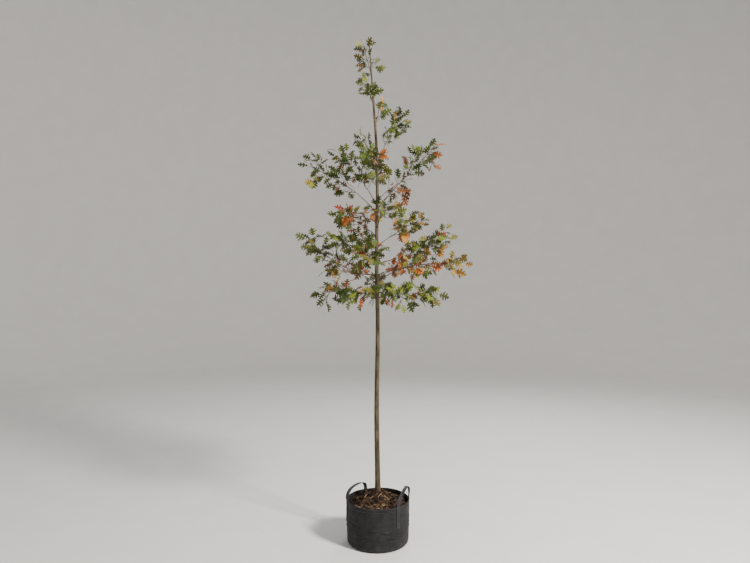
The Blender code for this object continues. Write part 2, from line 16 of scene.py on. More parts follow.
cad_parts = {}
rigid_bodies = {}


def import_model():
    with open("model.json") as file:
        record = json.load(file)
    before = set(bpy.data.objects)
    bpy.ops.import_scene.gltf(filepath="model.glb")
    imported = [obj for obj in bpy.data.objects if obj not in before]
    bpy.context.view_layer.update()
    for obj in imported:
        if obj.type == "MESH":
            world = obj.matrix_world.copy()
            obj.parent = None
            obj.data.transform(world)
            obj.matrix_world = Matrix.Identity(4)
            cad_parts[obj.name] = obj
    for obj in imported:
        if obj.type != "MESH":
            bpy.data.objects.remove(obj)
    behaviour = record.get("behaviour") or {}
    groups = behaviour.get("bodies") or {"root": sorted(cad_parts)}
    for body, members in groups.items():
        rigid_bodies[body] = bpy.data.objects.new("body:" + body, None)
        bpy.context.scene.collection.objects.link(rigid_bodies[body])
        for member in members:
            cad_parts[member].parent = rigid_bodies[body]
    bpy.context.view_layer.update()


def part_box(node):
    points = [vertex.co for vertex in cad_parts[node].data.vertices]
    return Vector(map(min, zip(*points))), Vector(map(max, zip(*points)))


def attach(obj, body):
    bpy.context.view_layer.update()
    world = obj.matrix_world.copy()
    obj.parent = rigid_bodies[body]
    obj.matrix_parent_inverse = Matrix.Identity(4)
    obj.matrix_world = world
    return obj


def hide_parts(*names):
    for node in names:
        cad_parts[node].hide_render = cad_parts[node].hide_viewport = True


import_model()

# Patterns. across and along: patches to a metre. start: where the pattern begins.
Grain = namedtuple("Grain", "across along start")
Wave = namedtuple("Wave", "lobes start share")

# Grow bag, read from the solids
bag_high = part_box("grow_bag")[1]
RIM_RADIUS = bag_high.x
BAG_HEIGHT = bag_high.z
FOOT_RADIUS = 0.98 * RIM_RADIUS
FOOT_ROUNDING = 0.022
CLOTH = 0.0018
HEM_HEIGHT = 0.028
HEM_LIFT = 0.0016
HEM_FOOT = BAG_HEIGHT - HEM_HEIGHT
POLE = 0.0005
BAG_COLUMNS = 264
WALL_ROWS = 84
CORNER_STEPS = 8
RIM_STEPS = 6
FLOOR_RINGS = (POLE, 0.05, 0.10, 0.14, FOOT_RADIUS - FOOT_ROUNDING)
INNER_WALL = (0.19, 0.14, 0.09, 0.05, 0.026)
INNER_FLOOR = ((0.188, 0.012), (0.172, CLOTH), (0.10, CLOTH), (POLE, CLOTH))

# Hem, from its lower edge up outside and back down inside: share of its height, share of its lift
HEM_OUTSIDE = ((0.01, 0.4), (0.03, 0.9), (0.07, 1.0), (0.30, 0.85), (0.55, 0.85), (0.80, 1.0))
HEM_INSIDE = ((0.80, 1.0), (0.55, 0.9), (0.30, 0.9), (0.07, 1.0), (0.03, 0.8), (0.0, 0.0), (-0.4, 0.0))

# Slack of the filled fabric
BELLY = 0.0030
FULLNESS = 0.8
ROUNDNESS_LOSS = 0.0022
OUT_OF_ROUND = (Wave(2, 0.671, 0.6), Wave(3, 2.971, 0.5))
ROUND_AT_ENDS = 0.35
RIM_WAVE = 0.0022
RIM_SWAY = (Wave(2, 0.4, 0.5), Wave(5, 2.0, 0.35))
RIM_SWAY_POWER = 4
CRUMPLE = 0.0009
CRUMPLE_AT_ENDS = 0.3
FINE_CRUMPLE = 0.00036
CRUMPLE_GRAIN = Grain(34, 34, 3.0)
FINE_CRUMPLE_GRAIN = Grain(95, 95, 9.0)
GATHERS = 19
GATHER_WANDER = 3
GATHER_DEPTH = 0.0016
GATHER_HEIGHT = 0.018
DEEPEST_DENT = 0.011

# Creases. turn: degrees round the wall. run: half length. slope: rise along it. width: half width.
Crease = namedtuple("Crease", "turn height run slope depth width")
CHOSEN_CREASES = [
    Crease(-100, 0.142, 0.060, 0.05, 0.0056, 0.0075),
    Crease(-78, 0.128, 0.052, -0.16, 0.0050, 0.0065),
    Crease(-118, 0.098, 0.045, 0.20, 0.0044, 0.0070),
    Crease(-48, 0.086, 0.060, -0.10, 0.0050, 0.0075),
    Crease(-62, 0.064, 0.075, 0.08, 0.0048, 0.0070),
    Crease(-25, 0.150, 0.040, 0.22, 0.0038, 0.0060),
    Crease(-38, 0.040, 0.055, -0.14, 0.0040, 0.0065),
    Crease(-140, 0.176, 0.050, -0.12, 0.0038, 0.0070),
]
CREASES = 40
CREASE_HEIGHTS = (0.035, 0.225)
CREASE_RUNS = (0.025, 0.085)
CREASE_SLOPE_SPREAD = 0.30
CREASE_DEPTHS = (0.0008, 0.0028)
CREASE_WIDTHS = (0.0045, 0.0095)
CREASE_END_POWER = 4
HOLLOW_DEPTH = 0.8
HOLLOW_DROP = 1.7
HOLLOW_WIDTH = 1.25

# Back seam of the bag
SEAM_TURN = math.radians(72)
SEAM_WIDTH = 0.012
SEAM_LIFT = 0.0010
SEAM_EDGE = 0.0006

# Straps, as in the solids. front_end and rear_end: degrees round the rim. rise and lean: how far
# the arch stands up and leans out. twist: how far its front half turns, in degrees.
STRAP_WIDTH = 0.023
STRAP_THICKNESS = 0.0026
STRAP_TAIL = 0.132
STRAP_STAND_OFF = 0.0023
TAIL_STEPS = 16
ARCH_STEPS = 56
ARCH_SWAY = 0.004
ARCH_DIP = 0.003
TWIST_POWER = 0.7
Strap = namedtuple("Strap", "name front_end rear_end rise lean twist")
STRAPS = [
    Strap("strap_left", 193, 114, 0.068, 0.000, 34),
    Strap("strap_right", -52, 10, 0.094, 0.014, -14),
]

# A quarter of a strap's section, edge to middle: shares of its width and of its thickness
STRAP_QUARTER = [(0.500, 0.20), (0.485, 0.50), (0.440, 0.62), (0.380, 0.50), (0.0, 0.46)]

# Stitching
HEM_STITCH = {"Stitch": 0.0034, "Pitch": 0.0050, "Thread": 0.0009}
STRAP_STITCH = {"Stitch": 0.0022, "Pitch": 0.0031, "Thread": 0.0009}
THREAD_SIDES = 6
THREAD_LIFT = 0.0002
HEM_ROWS = (HEM_FOOT + 0.0035, BAG_HEIGHT - 0.0055)
HEM_STEPS = 240
SEAM_ROW_ASIDE = 0.0035
SEAM_ROW_FOOT = 0.022
SEAM_ROW_STEP = 0.004
SEAM_ROW_POINTS = 56
BOX_INSET = 0.0035
BOX_HEIGHT = 0.034
BAR_DROPS = (0.012, 0.018)
ROUTE_STEPS = 8

# Compost
COMPOST_EDGE_DEPTH = 0.032
COMPOST_EDGE = BAG_HEIGHT - COMPOST_EDGE_DEPTH
COMPOST_FLOOR = 0.004
COMPOST_FLOOR_RADIUS = 0.165
COMPOST_SHOULDER = 0.030
COMPOST_NECK = COMPOST_EDGE - 0.012
COMPOST_INSET = 0.001
MOUND_HEIGHT = 0.070
MOUND_SPREAD = 0.082
MOUND_EDGE_POWER = 4
LUMP = 0.0075
LUMPS = Grain(28, 0, 1.5)
FINE_LUMPS = Grain(70, 0, 7.5)
FINE_LUMP_SHARE = 0.5
HEAP_COLUMNS = 144
HEAP_RINGS = 44
STREWN_COLUMNS = 72
STREWN_RINGS = 30

# Bark chips: length, width and depth
FLAKES = [(0.046, 0.018, 0.0045), (0.034, 0.020, 0.0055), (0.060, 0.013, 0.0045)]
SPLINTERS = [(0.062, 0.0045, 0.0026), (0.048, 0.0065, 0.0030), (0.034, 0.0100, 0.0040)]
CRUMBS = [(0.014, 0.008, 0.003), (0.010, 0.006, 0.003), (0.018, 0.004, 0.002)]
CHIP_RINGS = 5
CHIP_SIDES = 6
CHIP_END = 0.45
CHIP_END_TURN = 0.12
CHIP_BOW = 0.036
CHIP_BOWS = (0.3, 1.0)
CHIP_SWELLS = (-0.12, 0.12)
CHIP_TEARS = (0.75, 1.2)
CHIP_SPLITS = (0.7, 1.3)
CHIP_SKEWS = (-0.06, 0.06)
CHIP_SIZES = (0.6, 1.3)

# Strewn chips. reach: share of the compost's width that they lie on. density: chips to a square
# metre. tilt: how far they lean, in radians. lift: how high they may lie on others.
Strewn = namedtuple("Strewn", "name wood shapes reach density seed tilt lift")
STREWN = [
    Strewn("dark_chips", "dark", FLAKES + SPLINTERS, 0.85, 4200.0, 3, 0.5, 0.006),
    Strewn("brown_chips", "brown", FLAKES + SPLINTERS, 0.84, 2300.0, 8, 0.4, 0.012),
    Strewn("pale_chips", "pale", SPLINTERS, 0.83, 620.0, 21, 0.4, 0.014),
    Strewn("bark_crumbs", "dark", CRUMBS, 0.955, 6000.0, 5, 0.6, 0.006),
]

# Shredded strands of bark round the stem's foot
STRANDS = 70
STRAND_STEPS = 4
STRAND_SIDES = 5
STRAND_STARTS = (0.020, 0.070)
STRAND_RUNS = (0.030, 0.075)
STRAND_SWING = 0.35
STRAND_WIDTHS = (0.0011, 0.0026)
STRAND_LIFTS = (0.002, 0.009)
STRAND_BEND = 0.004
STRAND_TAPER = (0.45, 0.9, 1.0, 0.85, 0.35)
STRAND_UNEVENNESS = (0.8, 1.2)
STRAND_WOODS = (5, 4, 2)

# Stem, as in the solids
GAP = 0.0003
STEM_RECESS = 0.005
STEM_BACK = 0.024
STEM_LEFT = 0.0045
STEM_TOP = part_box("stem")[1].z
STEM_TIP_RADIUS = 0.0022
STEM_RADIUS = 0.0178
STEM_TAPER = 0.62
FLARE = 0.006
FLARE_HEIGHT = 0.026
FLARE_LOBES = 5
FLARE_LOBE_DEPTH = 0.10
WAVER = 0.0034
WAVER_LENGTH = 1.05
WAVER_CREST = 0.3
WAVER_DEPTH_LENGTH = 1.47
LEAN_FROM = 2.0
LEAN = 0.058
LEAN_POWER = 2.5

# Bark of the stem. Old bark cracks into plates, and young bark stays smooth.
STEM_SIDES = 56
STEM_RINGS = 640
STEM_RING_CROWDING = 1.12
OLD_BARK_HEIGHT = 0.5
BARK_AGE_REACH = 2.0
YOUNGEST_BARK = 0.12
BARK_WANDER = Grain(60, 7, 0.0)
BARK_RIDGES = Grain(210, 15, 0.0)
BARK_PLATES = Grain(130, 10, 4.0)
BARK_SWELLS = Grain(45, 22, 5.0)
BARK_GRIT = Grain(420, 120, 0.0)
PLATE_RISE = 0.0007
SWELL_RISE = 0.0006
GRIT_RISE = 0.0002
CRACK_DEPTH = 0.0013
CRACK_WIDTH = 0.22
CRACK_SHARE = 0.5
CRACK_CONTRAST = 1.8
# How dark the painted shade in a crack is, for its depth
CRACK_SHADE_DARKNESS = 1.4
FULL_RELIEF_RADIUS = 0.008

# Knots. rise: the swollen ring. dip: the healed scar inside it, where there is one.
Knot = namedtuple("Knot", "height turn size rise dip")
SCAR_HEIGHTS = (0.45, 1.5)
SCAR_SPACING = (0.09, 0.19)
SCAR_SIZES = (0.006, 0.009)
SCAR_RISE = 0.0016
SCAR_DIP = 0.0018
SCAR_DIP_SHARE = 0.45
COLLAR_RISE = 0.0018
BOUGH_COLLAR = 0.010
SHOOT_COLLAR = 0.006
KNOT_REACH = 0.03
KNOT_STRETCH = 0.8

# Boughs and the stems of the masses, as in the solids
PATH_STEPS = 24
STEEPEST_START = 70
NEARLY_UPRIGHT = 0.05
BOUGH_ROOT_RADIUS = 0.0026
BOUGH_RADIUS_PER_METRE = 0.0046
BOUGH_TIP_RADIUS = 0.0021
BOUGH_WANDER = 7
MASS_STEM_TIP_RADIUS = 0.0013

# Twigs and leaves of a mass, as in the solids
TWIG_SPACING = 0.072
TWIG_STRETCH = (0.06, 0.92)
TWIG_START = 0.35
TWIG_ANGLE = 52
TWIG_LENGTHS = (1.15, 0.60)
TWIG_LENGTH_SPREAD = (0.75, 1.15)
TWIG_FLATTEN = 0.62
TWIG_LIFT = (0.0, 0.45)
ANGLE_SPREAD = 12
LEAVES_PER_METRE = 16
LEAF_STRETCH = (0.35, 0.90)
LEAF_STRAY = 0.5
LEAF_CLOCK_SPREAD = 0.7
STEM_LEAF_SHARE = 0.5
SIDE_LEAF_SIZES = (0.80, 1.08)
TIP_LEAF_SIZES = (0.85, 1.15)
TIP_LEAVES = 3
TIP_LEAF_ANGLES = (8, 48)
TIP_ANGLE_SPREAD = 8
TIP_CLOCK_SPREAD = 0.5
TIP_LEAF_PLACE = 0.98
LEAF_LENGTH = 0.086
LEAF_WIDTH = 0.062
LEAF_CUP = 0.006
LEAF_BELLY = 0.46
LEAF_ANGLE = 55
LEAF_SINK = 0.0005
LEAF_FACES_UP = 0.45
LEAF_DROOP = 0.22
LEAF_TRIES = 4
TIP_LEAF_STEP = 0.06
GOLDEN_ANGLE = math.radians(137.5)
SPACE_MARGIN = 0.004
LIMB_CLEARANCE = 0.010
LEAF_CLEARANCE = 0.011
TWIG_CLEARANCE = 0.004
MASS_STRETCHES = 8
BOUGH_STRETCHES = 6
CROWN_FOOT = 1.2
CROWN_TOP = 3.2
STEM_STRETCHES = 20

# Finer growth, which only shows here
SPRIG_SPACING = 0.034
SPRIG_STRETCH = (0.08, 0.82)
SPRIG_LENGTHS = (0.026, 0.052)
SPRIG_ANGLE = 50
SPRIG_LEAVES = (1, 3)
FINE_LEAF_SIZES = (0.74, 1.02)
FINE_LEAF_CLEARANCE = 0.0045
FINE_LIMB_CLEARANCE = 0.003

# Stray of real limbs from the even curves, read from a noise along each limb, and how twigs bow
# to the side and up or down
CROOK = 0.0042
CROOK_LENGTH = 0.055
CROOK_START = 40
CROOK_LAYER = 3
CROOK_SEED = 5
SHOOT_STEPS = 4
TWIG_BOW = 0.035
SIDE_BOWS = (-1, 1)
RISE_BOWS = (-1, 0.3)

# Bark of the boughs and twigs, with a collar at the stem and swollen joints of yearly growth
BOUGH_SIDES = 10
BOUGH_RING_SPACING = 0.009
FEWEST_BOUGH_RINGS = 14
BOUGH_SUNK = 0.5
COLLAR = 0.8
COLLAR_LENGTH = 0.006
JOINT = 0.16
JOINT_SPACING = 0.045
JOINT_POWER = 6
BARK_UNEVENNESS = (0.97, 1.04)
TWIG_RADII = [0.0019, 0.0016, 0.0014, 0.0013, 0.0010]
TWIG_SIDES = 5
SPRIG_RADII = [0.0012, 0.0009, 0.0009, 0.0008, 0.0008]
SPRIG_SIDES = 4

# Buds: shares of a bud's length along it, and its radii there
BUD_RINGS = ((0.0, 0.30), (0.35, 0.42), (0.75, 0.26), (1.0, 0.04))
BUD_SIDES = 5
TIP_BUD = 0.0048
SIDE_BUD = 0.0036
SIDE_BUDS = 2
SIDE_BUD_TURN = 0.6
SIDE_BUD_ANGLE = math.radians(38)
TIP_BUD_SUNK = 0.001
SIDE_BUD_SUNK = 0.002
LEADER_BUD = 0.007
LEADER_BUD_SUNK = 0.002

# Shape of a leaf: half of its outline, in shares of the blade's length
Lobe = namedtuple("Lobe", "neck tooth notch tip back bay")
LEAF_FOOT = (0.045, 0.028)
LEAF_LOBES = [
    Lobe((0.085, 0.052), (0.130, 0.205), (0.172, 0.178), (0.240, 0.298), (0.258, 0.110), (0.290, 0.070)),
    Lobe((0.322, 0.108), (0.368, 0.360), (0.420, 0.318), (0.530, 0.486), (0.512, 0.128), (0.545, 0.080)),
    Lobe((0.576, 0.112), (0.660, 0.314), (0.704, 0.262), (0.812, 0.362), (0.762, 0.100), (0.782, 0.068)),
]
LEAF_END = [(0.812, 0.088), (0.895, 0.162)]
MIDRIB = (0.16, 0.41, 0.66, 0.83)
BLADE_HALF_THICKNESS = 0.00035
BLADE_WIDTHS = (0.92, 1.12)
BLADE_FOLDS = (0.10, 0.42)
BLADE_DROOPS = (0.08, 0.42)
BLADE_CURLS = (-0.1, 0.9)
BLADE_ROLLS = (-0.5, 0.5)
BLADE_TWISTS = (-0.35, 0.35)
DROOP_SHORTENS = 0.3

# Stalk of a leaf
PETIOLE_SHARE = 0.22
PETIOLE_SPREAD = (0.8, 1.3)
PETIOLE_RADII = [0.00078, 0.0006, 0.00054]
PETIOLE_SIDES = 3
PETIOLE_ARCH = 0.06
PETIOLE_UNDER_BLADE = 0.06

# foot: height on the stem. azimuth: degrees from +X towards +Y. reach and tip: where the
# mass's own stem ends, out from the stem and above the ground. kink: how much steeper it
# starts. bare: the share that is bough. spread: length of its side twigs. tint: most of its leaves.
Limb = namedtuple("Limb", "name foot azimuth reach tip kink bare spread tint")
BOUGHS = [
    Limb("low_left", 1.583, 190, 0.370, 1.612, 10, 0.22, 0.105, "green"),
    Limb("low_right", 1.570, 346, 0.390, 1.598, 14, 0.22, 0.105, "green"),
    Limb("low_front_right", 1.601, 306, 0.320, 1.562, 22, 0.24, 0.100, "green"),
    Limb("low_front_left", 1.622, 248, 0.290, 1.590, 20, 0.24, 0.100, "green"),
    Limb("low_back", 1.561, 84, 0.370, 1.650, 16, 0.24, 0.110, "green"),
    Limb("right_long", 1.675, 356, 0.560, 1.800, 26, 0.24, 0.110, "amber"),
    Limb("right_mid", 1.792, 14, 0.500, 1.975, -6, 0.26, 0.100, "green"),
    Limb("left_long", 1.722, 176, 0.460, 1.950, -30, 0.24, 0.105, "green"),
    Limb("left_inner", 1.660, 150, 0.320, 1.755, 20, 0.24, 0.110, "bronze"),
    Limb("front_mid", 1.753, 258, 0.330, 1.840, 24, 0.24, 0.105, "green"),
    Limb("right_inner", 1.714, 322, 0.310, 1.765, 18, 0.24, 0.105, "bronze"),
    Limb("back_mid", 1.805, 106, 0.390, 1.950, 20, 0.26, 0.110, "green"),
    Limb("back_right", 1.690, 46, 0.400, 1.790, 20, 0.26, 0.110, "amber"),
    Limb("left_dense", 1.820, 204, 0.290, 1.945, 16, 0.24, 0.105, "green"),
    Limb("right_high", 1.903, 8, 0.285, 2.085, 8, 0.20, 0.110, "amber"),
    Limb("left_small", 2.060, 190, 0.245, 2.115, 18, 0.28, 0.072, "bronze"),
    Limb("front_centre", 2.020, 284, 0.260, 2.130, 22, 0.24, 0.100, "green"),
    Limb("back_left", 1.960, 138, 0.320, 2.130, 18, 0.26, 0.105, "bronze"),
    Limb("left_upper", 2.110, 178, 0.440, 2.430, 22, 0.28, 0.100, "green"),
    Limb("left_rising", 2.170, 160, 0.265, 2.535, 8, 0.26, 0.085, "green"),
    Limb("right_upper", 2.151, 357, 0.375, 2.545, 4, 0.40, 0.090, "green"),
    Limb("right_red", 2.205, 30, 0.200, 2.350, 14, 0.20, 0.105, "bronze"),
    Limb("front_upper", 2.260, 266, 0.215, 2.480, 12, 0.26, 0.085, "green"),
    Limb("back_upper", 2.200, 96, 0.280, 2.470, 14, 0.28, 0.095, "green"),
    Limb("right_top", 2.440, 10, 0.185, 2.755, 14, 0.30, 0.110, "green"),
    Limb("left_top", 2.360, 208, 0.095, 2.600, 6, 0.20, 0.060, "green"),
]
SHOOTS = [
    Limb("leader_low", 2.690, 335, 0.040, 2.810, 4, 0.0, 0.045, "green"),
    Limb("leader_middle", 2.820, 190, 0.038, 3.000, 4, 0.0, 0.045, "green"),
    Limb("leader_high", 3.030, 168, 0.034, 3.212, 4, 0.0, 0.042, "green"),
]

# Leaf colours. Each spray of leaves takes one, drawn by its mass's tint.
LEAF_TINTS = {
    "green": {
        "deep_green": (0.028, 0.046, 0.007),
        "mid_green": (0.052, 0.076, 0.009),
        # Partly the leaves' own paler green, partly painted light shining through them
        "bright_green": (0.112, 0.138, 0.012),
        "olive_green": (0.092, 0.080, 0.011),
    },
    "amber": {
        "yellow_green": (0.180, 0.175, 0.018),
        "gold": (0.330, 0.160, 0.018),
        "straw": (0.240, 0.115, 0.024),
    },
    "bronze": {
        "orange": (0.340, 0.092, 0.016),
        "russet": (0.190, 0.052, 0.014),
        "crimson": (0.200, 0.030, 0.013),
    },
}
UNDERSIDES = {
    "green": (0.076, 0.090, 0.026),
    "amber": (0.240, 0.145, 0.040),
    "bronze": (0.190, 0.072, 0.028),
}

# turned: the share of sprays that have turned. bronze: how many of those are bronze. By a mass's
# tint, and for the masses that have turned more or less than that.
Autumn = namedtuple("Autumn", "turned bronze")
AUTUMN = {"green": Autumn(0.15, 0.40), "amber": Autumn(0.72, 0.42), "bronze": Autumn(0.76, 0.74)}
MASS_AUTUMN = {
    "left_top": Autumn(0.0, 0.0),
    "left_rising": Autumn(0.06, 0.5),
    "left_dense": Autumn(0.08, 0.5),
    "left_long": Autumn(0.08, 0.4),
    "right_top": Autumn(0.08, 0.2),
    "right_upper": Autumn(0.14, 0.8),
    "right_high": Autumn(0.50, 0.15),
    "front_centre": Autumn(0.20, 0.6),
    "leader_low": Autumn(0.05, 0.0),
    "leader_middle": Autumn(0.05, 0.0),
    "leader_high": Autumn(0.10, 0.0),
}

# How much sooner sprays turn at the stem than at the reach of the crown, how many leaves stray
# from their spray's tint, and the end sprays of a known tint
TURNING = (1.45, 0.50)
STRAY_TINTS = 0.22
TIP_TINTS = {"right_upper": ("bronze", 0), "left_small": ("green", 0)}

# Veins of a leaf, in shares of the blade's length
MIDRIB_HALF_WIDTH = 0.020
VEIN_SPACING = 0.125
VEIN_SLANT = 0.45
VEIN_EDGE = 0.80
VEIN_RISE = 0.55

# Finishes. GLOSS: how much light a skin throws back. RELIEF: depth of its bumps. PATCHES: to a
# metre. FINENESS: how much finer the grain is than the patches.

# Skin of a leaf
LEAF_GLOSS = 0.18
LEAF_ROUGHNESS = (0.54, 0.68)
LEAF_PATCHES = 60.0
LEAF_FINENESS = 5.0
LEAF_GRAIN_RISE = 0.2
LEAF_RELIEF = 0.0005

# Shared patterns. DETAIL: how many layers a noise has. EDGE: where a pattern starts and is full.
# DUST_HIGH_UP: how much of the dust also lies above its reach.
PATCH_DETAIL = 3.0
PATCH_EDGE = (0.35, 0.65)
GRAIN_DETAIL = 4.0
GRAIN_EDGE = (0.30, 0.70)
YARN_EDGE = (0.02, 0.35)
DUST_PATCHES = 34.0
DUST_DETAIL = 5.0
DUST_EDGE = (0.35, 0.75)
DUST_HIGH_UP = 0.25
FISSURE_DETAIL = 2.0
FISSURE_EDGE = (0.2, 1.0)

# Cloth. tones, here and below: the darker one and the paler one. The colour after them, between its
# yarns, is painted shade. yarns: to a metre. dusting: how dusty it is, and how far up it is dustier.
Cloth = namedtuple("Cloth", "name tones gaps dust yarns patches fineness dusting roughness gloss sheen")
BAG_CLOTH = Cloth(
    name="bag_fabric", tones=((0.0090, 0.0099, 0.0112), (0.0178, 0.0187, 0.0200)),
    gaps=(0.006, 0.006, 0.007), dust=(0.090, 0.079, 0.064), yarns=520.0, patches=16.0, fineness=7.0,
    dusting=(0.22, 0.08), roughness=(0.62, 0.78), gloss=0.22, sheen=0.02,
)
STRAP_CLOTH = Cloth(
    name="strap_fabric", tones=((0.0122, 0.0130, 0.0145), (0.0230, 0.0240, 0.0258)),
    gaps=(0.007, 0.007, 0.008), dust=(0.090, 0.079, 0.064), yarns=640.0, patches=40.0, fineness=5.0,
    dusting=(0.08, 0.40), roughness=(0.52, 0.67), gloss=0.30, sheen=0.03,
)
BAG_FUZZ = 0.6
BAG_RELIEF = 0.0004
STRAP_RELIEF = 0.0003

# Thread of the stitches
THREAD_TONES = (0.030, 0.031, 0.033), (0.055, 0.055, 0.057)
THREAD_ROUGHNESS = 0.45
THREAD_SHEEN = 0.2
THREAD_PATCHES = 120.0
THREAD_FINENESS = 4.0
THREAD_RELIEF = 0.0002

# Bark. stretch: how much longer than wide its patches are. splitting: depth of its lines, and how dark
# their painted shade is.
Bark = namedtuple("Bark", "name tones lichen patches stretch splitting")
STEM_BARK = Bark(
    name="young_bark", tones=((0.038, 0.027, 0.015), (0.115, 0.082, 0.047)),
    lichen=(0.092, 0.088, 0.052), patches=42.0, stretch=5.0, splitting=0.34,
)
SHOOT_BARK = Bark(
    name="shoot_bark", tones=((0.045, 0.027, 0.017), (0.100, 0.064, 0.038)),
    lichen=(0.085, 0.078, 0.050), patches=90.0, stretch=1.5, splitting=0.08,
)
BARK_GLOSS = 0.25
BARK_ROUGHNESS = (0.62, 0.84)
BARK_FINENESS = 4.0
BARK_RELIEF = 0.0008

# Lichen, pores and lines of bark, and painted shade in its cracks and lines. LICHEN_SCALE, LINE_SCALE
# and LINE_STRETCH are shares of the bark's own scale and stretch. PORES: to a metre. COVER: how much
# of the bark's colour it hides. PORE_PALENESS and the painted shade's tone: shares of the bark's paler
# and darker tone.
LICHEN_SCALE = 0.35
LICHEN_STRETCH = 2.0
LICHEN_FINENESS = 6.0
LICHEN_COVER = 0.75
PORES = 95.0
PORE_FLATTENING = (1.0, 1.0, 2.6)
PORE_EDGE = (0.10, 0.22)
PORE_PALENESS = 1.5
PORE_COVER = 0.55
PORE_RISE = 0.5
LINE_SCALE = 5
LINE_STRETCH = 1.8
LINE_WIDTH = 0.036
LINE_SINK = 3
# Painted shade in the cracks and lines
CRACK_SHADE_COVER = 0.85
CRACK_SHADE_TONE = 0.3

# Chips, compost and bud scales. The two hollow values: how far painted shade darkens the torn
# hollows, and its tone as a share of the darker one.
WOOD_TONES = {
    "brown": ((0.042, 0.022, 0.012), (0.101, 0.056, 0.031)),
    "dark": ((0.011, 0.007, 0.004), (0.030, 0.017, 0.010)),
    "pale": ((0.190, 0.125, 0.072), (0.370, 0.260, 0.155)),
}
# Partly damp compost's own dark colour, partly painted shade between the chips, where it shows
COMPOST_AND_GAP_SHADE_TONES = (0.010, 0.006, 0.004), (0.022, 0.013, 0.008)
BUD_TONES = (0.075, 0.036, 0.018), (0.130, 0.062, 0.030)
CHIP_ROUGHNESS = 0.85
COMPOST_ROUGHNESS = 0.95
BUD_ROUGHNESS = 0.55
WOOD_GLOSS = 0.20
WOOD_PATCHES = 70.0
WOOD_FINENESS = 6.0
WOOD_HOLLOW_SHADE = 0.5
WOOD_HOLLOW_SHADE_TONE = 0.4
WOOD_RELIEF = 0.0012

# Floor
FLOOR_TONES = (0.70, 0.69, 0.67), (0.72, 0.71, 0.69)
FLOOR_ROUGHNESS = 0.9
FLOOR_PATCHES = 3.0

# Camera and studio
CAMERA_SPOT = (-0.0188, -3.92, 1.678)
CAMERA_LENS = 29.09
CAMERA_SENSOR = 36.0
STUDIO_RADIUS = 12.0
STUDIO_TURN = 4.5
STUDIO_HEIGHT = 13.0
STUDIO_SIDES = 96
STUDIO_TURN_STEPS = 12
STUDIO_POLE = 0.02
LAMP_AIM = Vector((0, 0, 1.4))
Lamp = namedtuple("Lamp", "name spot size power colour")
LAMPS = [
    Lamp("key", (3.8, -3.2, 4.8), 1.0, 900, (1.0, 0.95, 0.88)),
    Lamp("fill", (-4.2, -3.0, 2.6), 3.0, 25, (1.0, 1.0, 1.0)),
    Lamp("rim", (1.5, 4.0, 4.0), 2.0, 90, (1.0, 1.0, 1.0)),
]
SKY_COLOUR = (0.86, 0.87, 0.88)
SKY_STRENGTH = 0.60


# Shared sums


def between(pair, share):
    """The value at a share of the way from the first of two to the second."""
    return pair[0] + (pair[1] - pair[0]) * share


def turns_round(count):
    """Angles at even steps all the way round."""
    return [2 * math.pi * i / count for i in range(count)]


def outward_at(turn):
    """The level direction at an angle round the Z axis."""
    return Vector((math.cos(turn), math.sin(turn), 0))


def path_length(path):
    """The sum of the steps between a path's points."""
    return sum((b - a).length for a, b in zip(path, path[1:]))


def grain_at(grain, x, y, z, sway=0.0):
    """A soft random pattern, from -1 to 1, at a place."""
    across = grain.across
    return noise.noise(Vector((x * across + sway, y * across + sway, z * grain.along + grain.start)))


# Meshes


class Skin:
    """Points, faces, face finishes and flat-pattern places, gathered for one mesh."""

    def __init__(self):
        self.points, self.uvs, self.faces, self.finishes = [], [], [], []
        self.count = 0

    def add(self, points, faces, finish=0, uvs=None):
        """Adds a form, in one finish or in a list of them, one for each face."""
        points = np.asarray(points, float).reshape(-1, 3)
        self.points.append(points)
        self.uvs.append(np.zeros((len(points), 2)) if uvs is None else np.asarray(uvs, float))
        self.faces.extend(tuple(i + self.count for i in face) for face in faces)
        self.finishes.extend(finish if isinstance(finish, list) else [finish] * len(faces))
        self.count += len(points)

    def piece(self, name, materials, smooth_degrees):
        """A piece in the scene, smooth where its faces turn by less than that angle."""
        mesh = bpy.data.meshes.new(name)
        points = np.concatenate(self.points)
        mesh.from_pydata(points.tolist(), [], self.faces)
        for material in materials:
            mesh.materials.append(material)
        mesh.polygons.foreach_set("material_index", self.finishes)
        corners = np.empty(len(mesh.loops), int)
        mesh.loops.foreach_get("vertex_index", corners)
        flat = mesh.uv_layers.new(name="UVMap")
        flat.data.foreach_set("uv", np.concatenate(self.uvs)[corners].ravel())
        mesh.shade_smooth()
        mesh.set_sharp_from_angle(angle=math.radians(smooth_degrees))
        mesh.update()
        return in_scene(name, mesh)


def in_scene(name, data):
    """A new object that shows in the scene."""
    made = bpy.data.objects.new(name, data)
    bpy.context.scene.collection.objects.link(made)
    return made


def wall_faces(rows, columns):
    """Faces between rows of points that each go round through the same columns."""
    faces = []
    for row in range(rows - 1):
        low, high = row * columns, (row + 1) * columns
        for here in range(columns):
            beside = (here + 1) % columns
            faces.append((low + here, low + beside, high + beside, high + here))
    return faces


def closed_faces(rows, columns):
    """The faces of a wall, and a flat cap on its first row and on its last."""
    first, last = range(columns), range((rows - 1) * columns, rows * columns)
    return wall_faces(rows, columns) + [tuple(reversed(first)), tuple(last)]


def place(piece, slot, *nodes):
    """Ties a finished piece to the object's body and hides the solids it stands for. Its slot is not used.
    """
    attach(piece, "root")
    if nodes:
        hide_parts(*nodes)
    return piece


def baked(holder):
    """A plain mesh object of what a holder's modifiers make, in place of the holder."""
    name, old = holder.name, holder.data
    graph = bpy.context.evaluated_depsgraph_get()
    mesh = bpy.data.meshes.new_from_object(holder.evaluated_get(graph))
    bpy.data.objects.remove(holder)
    bpy.data.meshes.remove(old)
    mesh.name = name
    return in_scene(name, mesh)


# Node trees


